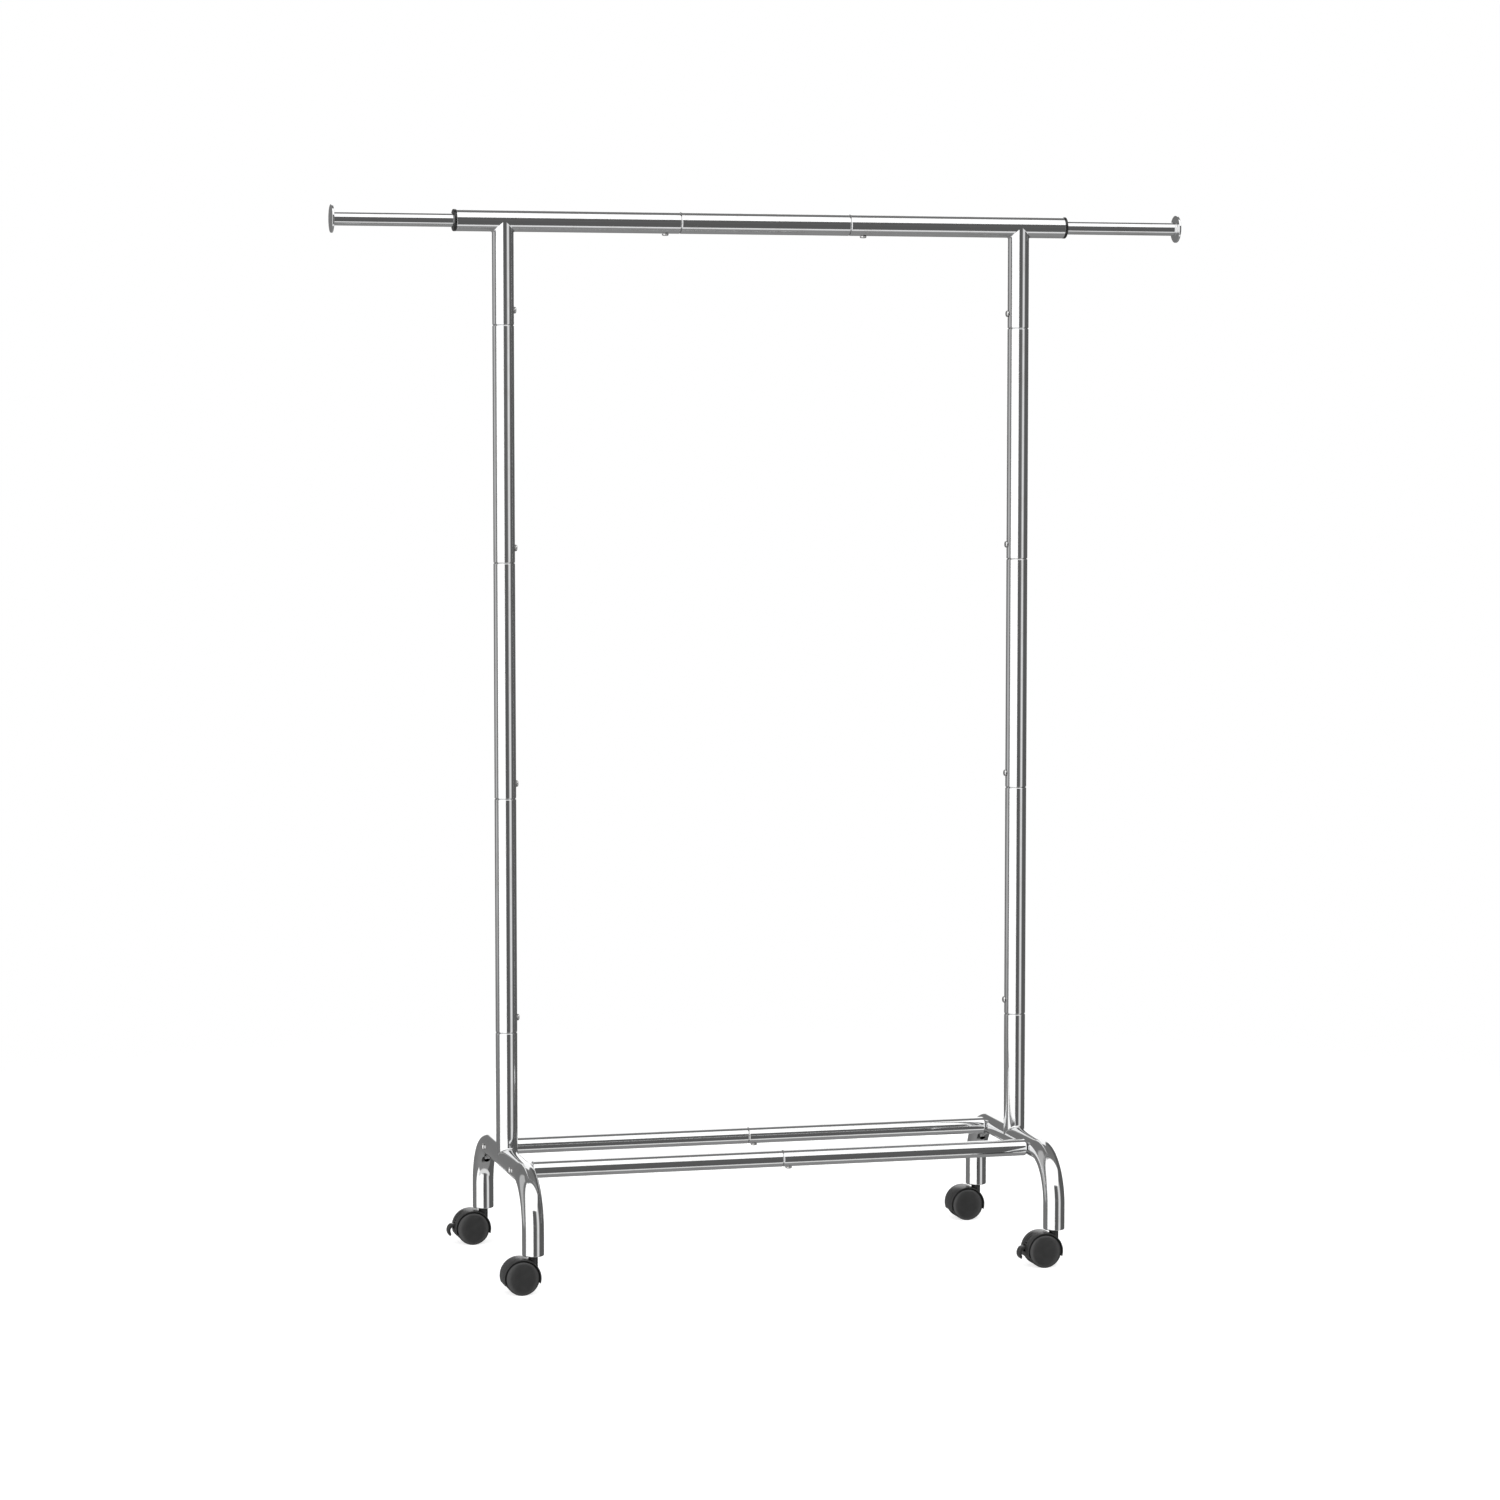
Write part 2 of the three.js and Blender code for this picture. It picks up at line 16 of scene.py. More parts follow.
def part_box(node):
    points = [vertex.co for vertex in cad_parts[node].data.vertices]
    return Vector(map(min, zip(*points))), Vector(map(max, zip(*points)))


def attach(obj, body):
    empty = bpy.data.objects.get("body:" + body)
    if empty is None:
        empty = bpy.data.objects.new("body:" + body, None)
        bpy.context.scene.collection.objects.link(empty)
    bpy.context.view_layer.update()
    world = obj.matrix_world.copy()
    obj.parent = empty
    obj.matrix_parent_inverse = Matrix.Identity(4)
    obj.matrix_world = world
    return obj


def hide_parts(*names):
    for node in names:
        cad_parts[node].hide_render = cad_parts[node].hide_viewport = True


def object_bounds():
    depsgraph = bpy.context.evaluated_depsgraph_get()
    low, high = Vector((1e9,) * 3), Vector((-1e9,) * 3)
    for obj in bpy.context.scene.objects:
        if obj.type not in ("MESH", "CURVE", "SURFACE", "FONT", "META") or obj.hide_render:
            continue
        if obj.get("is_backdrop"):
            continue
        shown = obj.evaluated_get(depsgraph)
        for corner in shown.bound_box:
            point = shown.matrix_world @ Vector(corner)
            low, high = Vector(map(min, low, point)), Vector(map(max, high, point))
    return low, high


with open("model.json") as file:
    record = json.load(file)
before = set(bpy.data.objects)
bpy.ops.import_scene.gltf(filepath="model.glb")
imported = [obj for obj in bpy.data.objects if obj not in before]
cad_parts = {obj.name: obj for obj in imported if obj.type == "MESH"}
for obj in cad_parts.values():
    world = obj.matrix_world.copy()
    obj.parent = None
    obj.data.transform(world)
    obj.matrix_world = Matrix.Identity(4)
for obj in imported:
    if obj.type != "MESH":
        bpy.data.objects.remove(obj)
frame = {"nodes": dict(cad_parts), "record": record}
cad_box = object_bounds()

# ---------------------------------------------------------------- sizes

MM = 0.001
GAP = 0.3 * MM  # between pieces that meet

FRAME_WALL = 1.2 * MM
SHELF_WALL = 1.0 * MM
SLIP = 0.5 * MM  # radial play of a spigot in the tube round it
FRAME_SPIGOT = 38 * MM
SHELF_SPIGOT = 30 * MM
EDGE_ROLL = 1.5 * MM  # rolled edge at the end of a tube
EDGE_LIP = 0.1 * MM
SHELF_END_ROLL = 2.6 * MM
SHELF_END_WALL = 3 * MM
SCREW_HOLE = 2.9 * MM
DRILL_REACH = 8 * MM  # of a drill to both sides of a tube's outer surface
SHORT_DRILL_REACH = 6 * MM
ACROSS_DRILL_REACH = 20 * MM  # from the middle of a leg arch's tube, out through both walls

WELD = 2.2 * MM  # radius of the fillet where two tubes are welded
BEND_RADIUS = 72 * MM
DRAIN_RADIUS = 4.4 * MM
DRAIN_ANGLE = math.radians(48)  # up the bend, from the leg

ROD_RADIUS = 10 * MM
ROD_WALL = 1.2 * MM
ROD_BORE = ROD_RADIUS - ROD_WALL
ROD_PLAY = 0.45 * MM
DISC_THICKNESS = 3 * MM
COLLAR_FLANGE = 4 * MM
GUIDE_PLUG = 15 * MM

HEAD_RADIUS = 5 * MM
HEAD_HEIGHT = 3 * MM
SHANK_RADIUS = 2.4 * MM
CROSS_LENGTH = 5 * MM
CROSS_WIDTH = 1.1 * MM
CROSS_DEPTH = 1.6 * MM

WHEEL_FACE = 23.8 * MM  # along a wheel's surface, from the middle of its face to about its edge

TUBE_SIDES = 64
WHEEL_SIDES = 96
SMALL_SIDES = 32
ARC_STEPS = 6  # steps round a rounded corner
BEND_STEPS = 40  # steps along a quarter bend
WELD_STEPS = 8

UV_MAP = "surface"  # metres along the surface, and metres round it
MERGE = 1e-6
SMOOTH_ANGLE = math.radians(34)

# ---------------------------------------------------------------- places, from the frame


def centre(node):
    low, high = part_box(node)
    return (low + high) / 2


def half_size(node):
    low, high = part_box(node)
    return (high - low) / 2


FRAME_RADIUS = half_size("right_post_middle").y
SHELF_RADIUS = half_size("shelf_rail_front_right").y
BORE = FRAME_RADIUS - FRAME_WALL
SPIGOT_RADIUS = BORE - SLIP
POST_X = centre("right_post_middle").x
RAIL_Z = centre("rail_middle").z
SIDES = {"right": 1, "left": -1}
ROWS = ("front", "back")
POST_PARTS = ("lower", "middle", "upper")

# ---------------------------------------------------------------- outlines


def rounded(corners, closed=False):
    """Points of an outline through (across, along, round) corners, with an arc at each round one."""
    points = []
    count = len(corners)
    for i, (across, along, radius) in enumerate(corners):
        corner = Vector((across, along))
        if radius == 0 or (not closed and i in (0, count - 1)):
            points.append(corner)
            continue
        to_last = Vector(corners[i - 1][:2]) - corner
        to_next = Vector(corners[(i + 1) % count][:2]) - corner
        last, after = to_last.normalized(), to_next.normalized()
        half = last.angle(after) / 2
        reach = radius / math.tan(half)
        middle = corner + (last + after).normalized() * (radius / math.sin(half))
        start = corner + last * reach - middle
        end = corner + after * reach - middle
        support = reach + 0.3 * radius
        if to_last.length > 2 * support:
            points.append(corner + last * support)
        points += [middle + radius * start.slerp(end, k / ARC_STEPS) for k in range(ARC_STEPS + 1)]
        if to_next.length > 2 * support:
            points.append(corner + after * support)
    return points


def socket_end(radius, wall):
    """The end of a tube that takes a spigot: corners from outside to inside, with metres past the end."""
    lip = radius - EDGE_ROLL - EDGE_LIP
    return [
        (radius, 0, EDGE_ROLL), (lip, 0, 0),
        (lip, -EDGE_ROLL / 2, 0), (radius - wall, -2 * EDGE_ROLL, 0),
    ]


def spigot_end(radius, wall, length):
    """The end of a tube that is swaged down to a spigot."""
    male = radius - wall - SLIP
    roll = radius - male - EDGE_LIP
    inside = male - wall
    return [
        (radius, 0, roll), (male, 0, 0), (male, length, wall / 3), (inside, length, wall / 3),
        (inside, -4 * MM, 0), (radius - wall, -9 * MM, 0),
    ]


def capped_end(radius, wall):
    """The closed end of a shelf rail, with a hole for its screw."""
    return [
        (radius, 0, SHELF_END_ROLL), (SCREW_HOLE, 0, 0.3 * MM),
        (SCREW_HOLE, -SHELF_END_WALL, 0), (radius - wall, -SHELF_END_WALL, 0),
    ]


def tube_outline(low, low_end, high, high_end):
    start = [(radius, low - past, turn) for radius, past, turn in reversed(low_end)]
    end = [(radius, high + past, turn) for radius, past, turn in high_end]
    return rounded(start + end, closed=True)


def arc(radius, start, end, step=3, middle=(0, 0)):
    """Points of an arc, by degrees anticlockwise from the first axis."""
    steps = max(1, round(abs(end - start) / step))
    angles = [math.radians(start + (end - start) * k / steps) for k in range(steps + 1)]
    return [(middle[0] + radius * math.cos(a), middle[1] + radius * math.sin(a)) for a in angles]


# ---------------------------------------------------------------- meshes


class Skin:
    """A mesh made of grids of quads, with metres along and round the surface in its UV map."""

    def __init__(self):
        self.mesh = bmesh.new()
        self.uv = self.mesh.loops.layers.uv.new(UV_MAP)

    def grid(self, rows, uvs):
        verts = [[self.mesh.verts.new(point) for point in row] for row in rows]
        for i in range(len(rows) - 1):
            for j in range(len(rows[0]) - 1):
                corners = [(i, j), (i, j + 1), (i + 1, j + 1), (i + 1, j)]
                face = self.mesh.faces.new([verts[a][b] for a, b in corners])
                for loop, (a, b) in zip(face.loops, corners):
                    loop[self.uv].uv = uvs[a][b]

    def turned(self, outline, place, sides, closed=False):
        """Turns an outline of (radius, height) points round the local Z axis, moved by place."""
        points = [Vector(point) for point in outline]
        if closed:
            points.append(points[0])
        along = [0.0]
        for last, after in zip(points, points[1:]):
            along.append(along[-1] + (after - last).length)
        widest = max(point.x for point in points)
        angles = [2 * math.pi * k / sides for k in range(sides + 1)]
        rows = [
            [place @ Vector((r * math.cos(a), r * math.sin(a), h)) for a in angles] for r, h in points
        ]
        self.grid(rows, [[(length, widest * a) for a in angles] for length in along])

    def prism(self, outline, low, high, place=Matrix()):
        """A closed prism of an outline in local X and Z, between two places along Y."""
        ends = [
            [self.mesh.verts.new(place @ Vector((x, y, z))) for x, z in outline] for y in (low, high)
        ]
        self.mesh.faces.new(ends[0])
        self.mesh.faces.new(ends[1][::-1])
        for k in range(len(outline)):
            last = k - 1
            self.mesh.faces.new([ends[0][last], ends[0][k], ends[1][k], ends[1][last]])

    def made(self, name):
        bmesh.ops.remove_doubles(self.mesh, verts=self.mesh.verts, dist=MERGE)
        bmesh.ops.dissolve_degenerate(self.mesh, edges=self.mesh.edges, dist=MERGE)
        bmesh.ops.recalc_face_normals(self.mesh, faces=self.mesh.faces)
        data = bpy.data.meshes.new(name)
        self.mesh.to_mesh(data)
        self.mesh.free()
        made = bpy.data.objects.new(name, data)
        bpy.context.scene.collection.objects.link(made)
        return made


def settle(thing):
    """Applies the modifiers."""
    graph = bpy.context.evaluated_depsgraph_get()
    data = bpy.data.meshes.new_from_object(thing.evaluated_get(graph), depsgraph=graph)
    thing.modifiers.clear()
    thing.data = data
    return thing


def bevelled(thing, width, segments=3, angle=50):
    step = thing.modifiers.new("bevel", "BEVEL")
    step.width = width
    step.segments = segments
    step.limit_method = "ANGLE"
    step.angle_limit = math.radians(angle)
    step.harden_normals = False
    return settle(thing)


def carved(thing, tool, operation="DIFFERENCE"):
    """Cuts or joins by another object, which is used up."""
    step = thing.modifiers.new("carve", "BOOLEAN")
    step.operation = operation
    step.solver = "EXACT"
    step.object = tool
    settle(thing)
    bpy.data.objects.remove(tool)
    return thing


def turned_object(name, outline, sides, place=Matrix(), closed=False):
    skin = Skin()
    skin.turned(outline, place, sides, closed)
    return skin.made(name)


def prism_object(name, outline, low, high, place=Matrix()):
    skin = Skin()
    skin.prism(outline, low, high, place)
    return skin.made(name)


def box_object(name, x, y, z, place=Matrix()):
    outline = [(x[0], z[0]), (x[1], z[0]), (x[1], z[1]), (x[0], z[1])]
    return prism_object(name, outline, y[0], y[1], place)


def body_of_node(node):
    bodies = frame["record"]["behaviour"]["bodies"]
    return next(body for body, nodes in bodies.items() if node in nodes)


def stand_for(thing, node, finish):
    """Names a piece after the CAD node that it stands for, and gives it its finish."""
    thing.name = "fine_" + node
    thing.data.name = thing.name
    thing.data.shade_smooth()
    thing.data.set_sharp_from_angle(angle=SMOOTH_ANGLE)
    thing.data.materials.clear()
    thing.data.materials.append(finish)
    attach(thing, body_of_node(node))
    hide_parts(node)
    return thing


def lying(axis, at=(0, 0, 0)):
    """A place whose local Z axis points along this direction."""
    turn = Vector((0, 0, 1)).rotation_difference(Vector(axis)).to_matrix().to_4x4()
    return Matrix.Translation(at) @ turn


# ---------------------------------------------------------------- finishes


class Nodes:
    """Adds nodes to a tree. Their inputs are numbers or other nodes' outputs."""

    def __init__(self, tree):
        self.tree = tree
        tree.nodes.clear()

    def add(self, kind, inputs, **settings):
        node = self.tree.nodes.new("ShaderNode" + kind)
        for name, value in settings.items():
            setattr(node, name, value)
        for name, value in inputs.items():
            if isinstance(value, bpy.types.NodeSocket):
                self.tree.links.new(value, node.inputs[name])
            else:
                node.inputs[name].default_value = value
        return node

    def math(self, operation, *values):
        return self.add("Math", dict(enumerate(values)), operation=operation).outputs[0]

    def ramp(self, value, low, high, bottom=0.0, top=1.0):
        """Goes smoothly from bottom to top while the value goes from low to high."""
        limits = {"From Min": low, "From Max": high, "To Min": bottom, "To Max": top}
        return self.add("MapRange", {"Value": value, **limits}, interpolation_type="SMOOTHSTEP").outputs[0]

    def mix(self, share, first, second):
        """Mixes two colours."""
        node = self.add("Mix", {0: share, 6: first, 7: second}, data_type="RGBA")
        return node.outputs[2]

    def surface(self, along, across):
        """The UV map, stretched to this many repeats a metre."""
        where = self.add("UVMap", {}, uv_map=UV_MAP).outputs[0]
        return self.add("Mapping", {"Vector": where, "Scale": (along, across, 1)}).outputs[0]

    def place(self):
        return self.add("TexCoord", {}).outputs["Object"]

    def noise(self, where, scale, detail=3.0, rough=0.55):
        inputs = {"Vector": where, "Scale": scale, "Detail": detail, "Roughness": rough}
        return self.add("TexNoise", inputs).outputs[0]

    def bump(self, height, strength, distance, before=None):
        inputs = {"Height": height, "Strength": strength, "Distance": distance}
        if before is not None:
            inputs["Normal"] = before
        return self.add("Bump", inputs).outputs[0]

    def finish(self, **sockets):
        names = {"colour": "Base Color", "metal": "Metallic", "rough": "Roughness", "normal": "Normal"}
        shader = self.add("BsdfPrincipled", {names[key]: value for key, value in sockets.items()})
        self.add("OutputMaterial", {"Surface": shader.outputs[0]})


def material(name):
    made = bpy.data.materials.new(name)
    made.use_nodes = True
    return made, Nodes(made.node_tree)


def grey(level, warmth=0.0):
    return (level * (1 + warmth), level, level * (1 - warmth), 1)


def chrome(name, level, roughest):
    """Bright plate with soft smudges, faint marks of the polishing wheel and a few fine scratches."""
    made, nodes = material(name)
    where = nodes.place()
    smudge = nodes.noise(where, 38, 4)
    haze = nodes.ramp(smudge, 0.42, 0.72)
    polish = nodes.noise(nodes.surface(9, 1400), 1, 2)
    scratch = nodes.ramp(nodes.noise(nodes.surface(55, 2600), 1, 1), 0.74, 0.80)
    rough = nodes.ramp(smudge, 0.35, 0.75, 0.045, roughest)
    rough = nodes.math("MULTIPLY_ADD", polish, 0.025, rough)
    rough = nodes.math("MULTIPLY_ADD", scratch, 0.10, rough)
    colour = nodes.mix(haze, grey(level, -0.006), grey(level * 0.94, 0.004))
    colour = nodes.mix(nodes.math("MULTIPLY", scratch, 0.25), colour, grey(level * 0.8))
    peel = nodes.bump(nodes.noise(where, 320, 2), 0.05, 0.0002)
    lines = nodes.bump(polish, 0.05, 0.00005, peel)
    nodes.finish(colour=colour, metal=1.0, rough=rough, normal=lines)
    return made


def screw_steel():
    """Duller plate, with turning marks and some mottled wear."""
    made, nodes = material("screw_plate")
    where = nodes.place()
    mottle = nodes.noise(where, 700, 3)
    colour = nodes.mix(nodes.ramp(mottle, 0.35, 0.7), grey(0.66), grey(0.5, 0.02))
    rough = nodes.ramp(mottle, 0.3, 0.75, 0.18, 0.36)
    normal = nodes.bump(nodes.noise(nodes.surface(3000, 200), 1, 2), 0.15, 0.0001)
    nodes.finish(colour=colour, metal=1.0, rough=rough, normal=normal)
    return made


def stem_steel():
    """Steel painted dark all over as painted shade under the leg, with brighter rings where it was turned.
    """
    made, nodes = material("dark_stem")
    rings = nodes.noise(nodes.surface(2500, 30), 1, 2)
    # The dark grey all over is painted shade under the leg; the brighter rings are turning marks.
    colour = nodes.mix(nodes.ramp(rings, 0.4, 0.7), grey(0.11), grey(0.2))
    rough = nodes.ramp(rings, 0.3, 0.7, 0.3, 0.45)
    normal = nodes.bump(rings, 0.2, 0.0001)
    nodes.finish(colour=colour, metal=1.0, rough=rough, normal=normal)
    return made


def black_plastic(name, dark, light, smooth, dull):
    """Moulded plastic with a fine eroded grain, faint flow marks and rubbed spots."""
    made, nodes = material(name)
    where = nodes.place()
    flow = nodes.noise(where, 60, 3)
    grain = nodes.noise(where, 2600, 2)
    rubbed = nodes.ramp(nodes.noise(where, 210, 3), 0.56, 0.72)
    colour = nodes.mix(nodes.ramp(flow, 0.3, 0.7), grey(dark), grey(light, 0.01))
    colour = nodes.mix(nodes.math("MULTIPLY", rubbed, 0.4), colour, grey(light * 1.6))
    rough = nodes.ramp(grain, 0.3, 0.7, smooth, dull)
    rough = nodes.math("MULTIPLY_ADD", rubbed, -0.06, rough)
    normal = nodes.bump(grain, 0.25, 0.00025, nodes.bump(flow, 0.1, 0.0006))
    nodes.finish(colour=colour, metal=0.0, rough=rough, normal=normal)
    return made


def wheel_plastic():
    """Smoother nylon: faint turning rings on the face, and a tread scuffed by the floor, painted
    near-black as painted shade of the dark rim round the wheel.
    """
    made, nodes = material("wheel_nylon")
    where = nodes.place()
    cloud = nodes.noise(where, 90, 3)
    scuff = nodes.ramp(nodes.noise(nodes.surface(160, 70), 1, 5), 0.5, 0.7)
    where_on_skin = nodes.add("UVMap", {}, uv_map=UV_MAP).outputs[0]
    along = nodes.add("SeparateXYZ", {"Vector": where_on_skin}).outputs[0]
    on_tread = nodes.ramp(along, WHEEL_FACE, WHEEL_FACE + 0.6 * MM)
    dust = nodes.math("MULTIPLY", on_tread, scuff)
    colour = nodes.mix(nodes.ramp(cloud, 0.3, 0.7), grey(0.024), grey(0.028))
    # Painted shade: the shoulder and tread are painted near-black for the dark rim round the wheel; the
    # scuffs below are real dust.
    colour = nodes.mix(on_tread, colour, grey(0.007))
    colour = nodes.mix(nodes.math("MULTIPLY", dust, 0.25), colour, grey(0.05, 0.03))
    rough = nodes.ramp(cloud, 0.3, 0.75, 0.28, 0.32)
    rough = nodes.math("MULTIPLY_ADD", on_tread, 0.14, rough)
    rings = nodes.bump(nodes.noise(nodes.surface(1500, 6), 1, 1), 0.08, 0.0001)
    normal = nodes.bump(nodes.noise(where, 1900, 2), 0.12, 0.0002, rings)
    nodes.finish(colour=colour, metal=0.0, rough=rough, normal=normal)
    return made


FRAME_CHROME = chrome("chrome_frame", 0.72, 0.13)
ROD_CHROME = chrome("chrome_rod", 0.72, 0.10)
SCREW_PLATE = screw_steel()
DARK_STEM = stem_steel()
BLACK = black_plastic("moulded_black", 0.022, 0.030, 0.29, 0.37)
# The collars' plastic is really glossy black, and its extra darkness over the moulded black is painted
# shade that offsets the light from the box on the left.
GLOSSY_BLACK = black_plastic("glossy_black", 0.006, 0.009, 0.20, 0.28)
NYLON = wheel_plastic()

# ---------------------------------------------------------------- straight tubes


def drilled(thing, point, axis, depth, radius=SCREW_HOLE):
    """Drills through, this far to both sides of the point."""
    outline = [(0, -depth), (radius, -depth), (radius, depth), (0, depth)]
    return carved(thing, turned_object("drill", outline, SMALL_SIDES, lying(axis, point)))


def with_rows(outline, radius, places):
    """Adds rows of faces to the outer side of an outline, on both sides of each place."""
    rows = [place + side * HEAD_RADIUS for place in places for side in (-1, 1)]
    first = next(k for k in range(len(outline)) if abs(outline[k].x - radius) < MERGE)
    rest = [point for point in outline[first:] if abs(point.x - radius) < MERGE]
    low, high = rest[0].y, max(point.y for point in rest)
    inside = [Vector((radius, row)) for row in rows if low < row < high]
    straight = sorted(rest + inside, key=lambda point: point.y)
    return outline[:first] + straight + outline[first + len(rest):]


def post_tube(node, screw_node, side):
    """A tube of a post. Its lower end takes a spigot and a screw, and its upper end is a spigot."""
    low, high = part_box(node)
    top = high.z - FRAME_SPIGOT
    outline = tube_outline(
        low.z, socket_end(FRAME_RADIUS, FRAME_WALL),
        top, spigot_end(FRAME_RADIUS, FRAME_WALL, FRAME_SPIGOT),
    )
    screw = centre(screw_node).z
    outline = with_rows(outline, FRAME_RADIUS, [screw])
    x = side * POST_X
    tube = turned_object(node, outline, TUBE_SIDES, Matrix.Translation((x, 0, 0)), closed=True)
    drilled(tube, (x - side * FRAME_RADIUS, 0, screw), (1, 0, 0), DRILL_REACH)
    upper_screw = screw + top - low.z + GAP
    drilled(tube, (x - side * FRAME_RADIUS, 0, upper_screw), (1, 0, 0), DRILL_REACH)
    stand_for(tube, node, FRAME_CHROME)


def middle_rail():
    node = "rail_middle"
    low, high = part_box(node)
    end = spigot_end(FRAME_RADIUS, FRAME_WALL, FRAME_SPIGOT)
    outline = tube_outline(low.x + FRAME_SPIGOT, end, high.x - FRAME_SPIGOT, end)
    place = lying((1, 0, 0), (0, 0, RAIL_Z))
    rail = turned_object(node, outline, TUBE_SIDES, place, closed=True)
    for side in SIDES:
        screw = centre(f"{side}_rail_screw")
        drilled(rail, (screw.x, 0, RAIL_Z - FRAME_RADIUS), (0, 0, 1), DRILL_REACH)
    stand_for(rail, node, FRAME_CHROME)


def shelf_half(row, name, side):
    """Half of a shelf rail. The left half's spigot goes into the right half, which takes the screw."""
    node = f"shelf_rail_{row}_{name}"
    low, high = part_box(node)
    outer = max(abs(low.x), abs(high.x))
    inner = GAP / 2
    if side > 0:
        end = socket_end(SHELF_RADIUS, SHELF_WALL)
    else:
        end = spigot_end(SHELF_RADIUS, SHELF_WALL, SHELF_SPIGOT)
    outline = tube_outline(inner, end, outer, capped_end(SHELF_RADIUS, SHELF_WALL))
    screw = centre(f"shelf_screw_{row}")
    if side > 0:
        outline = with_rows(outline, SHELF_RADIUS, [screw.x])
    middle = centre(node)
    place = lying((side, 0, 0), (0, middle.y, middle.z))
    rail = turned_object(node, outline, TUBE_SIDES, place, closed=True)
    drilled(rail, (screw.x, middle.y, middle.z - SHELF_RADIUS), (0, 0, 1), SHORT_DRILL_REACH)
    stand_for(rail, node, FRAME_CHROME)


# ---------------------------------------------------------------- branched tubes

WELD_REACH = FRAME_RADIUS + WELD
WELD_SUPPORT = 0.4 * MM
PLAIN_FROM = WELD_REACH + 3 * MM  # past this the run and the branch are plain tubes
BRANCH_DEPTH = 45 * MM  # of the branch's bore


def branched_tube(name, at, side, run_outlines, branch_outline, place):
    """A tube along a path, with a branch of the same size welded to it where the path starts.

    `at` gives the run's middle and its direction towards the branch, at a distance along it.
    The run's outlines, one for each way, and the branch's are of (radius, distance) points.
    """
    skin = Skin()
    turns = [2 * math.pi * k / TUBE_SIDES for k in range(TUBE_SIDES + 1)]
    origin, up = at(0)
    ahead = side.cross(up)

    def on_run(a, radius, turn):
        middle, out = at(a)
        return place @ (middle + radius * (math.sin(turn) * side + math.cos(turn) * out))

    def local(a, b, c):
        return place @ (origin + a * ahead + b * side + c * up)

    for way in (1, -1):
        starts = [WELD_REACH * max(math.cos(turn), 0) for turn in turns]
        rows = [
            [on_run(way * (start + more), FRAME_RADIUS, turn) for start, turn in zip(starts, turns)]
            for more in (0, WELD_SUPPORT)
        ]
        uvs = [
            [(way * (start + more), FRAME_RADIUS * turn) for start, turn in zip(starts, turns)]
            for more in (0, WELD_SUPPORT)
        ]
        for radius, a in run_outlines[way]:
            rows.append([on_run(way * a, radius, turn) for turn in turns])
            uvs.append([(way * a, FRAME_RADIUS * turn) for turn in turns])
        skin.grid(rows, uvs)

        quarter = TUBE_SIDES // 4
        fillet, fillet_uvs = [], []
        for k in range(-quarter, quarter + 1):
            turn = 2 * math.pi * k / TUBE_SIDES
            sine, cosine = math.sin(turn), math.cos(turn)
            middle = Vector((way * WELD_REACH * cosine, WELD_REACH * sine, WELD_REACH * cosine))
            on_tube = Vector((0, -sine, -cosine))
            on_branch = Vector((-way * cosine, -sine, 0))
            steps = [on_tube.slerp(on_branch, j / WELD_STEPS) for j in range(WELD_STEPS + 1)]
            fillet.append([local(*(middle + WELD * step)) for step in steps])
            round_it = FRAME_RADIUS * turn
            fillet_uvs.append([(WELD * j / WELD_STEPS, round_it) for j in range(WELD_STEPS + 1)])
        skin.grid(fillet, fillet_uvs)

    def on_branch_tube(c, radius, turn):
        return local(radius * math.cos(turn), radius * math.sin(turn), c)

    starts = [WELD_REACH * abs(math.cos(turn)) for turn in turns]
    rows = [
        [on_branch_tube(start + more, FRAME_RADIUS, turn) for start, turn in zip(starts, turns)]
        for more in (0, WELD_SUPPORT)
    ]
    uvs = [
        [(start + more, FRAME_RADIUS * turn) for start, turn in zip(starts, turns)]
        for more in (0, WELD_SUPPORT)
    ]
    for radius, c in branch_outline:
        rows.append([on_branch_tube(c, radius, turn) for turn in turns])
        uvs.append([(c, FRAME_RADIUS * turn) for turn in turns])
    skin.grid(rows, uvs)
    return skin.made(name)


def end_outline(plain, end, bore, stations=(), depth=0.0):
    """An outline from the start of the plain tube to its end and back inside to this depth."""
    length, corners = end
    start = [(FRAME_RADIUS, plain, 0)] + [(FRAME_RADIUS, a, 0) for a in stations]
    turned_in = [(radius, length + past, turn) for radius, past, turn in corners]
    inside = [(bore, a, 0) for a in reversed(stations)] if depth == 0 else []
    return rounded(start + turned_in + inside + [(bore, depth, 0)])


def plain_end(radius, wall):
    return [(radius, 0, 0.4 * MM), (radius - wall, 0, 0.3 * MM)]


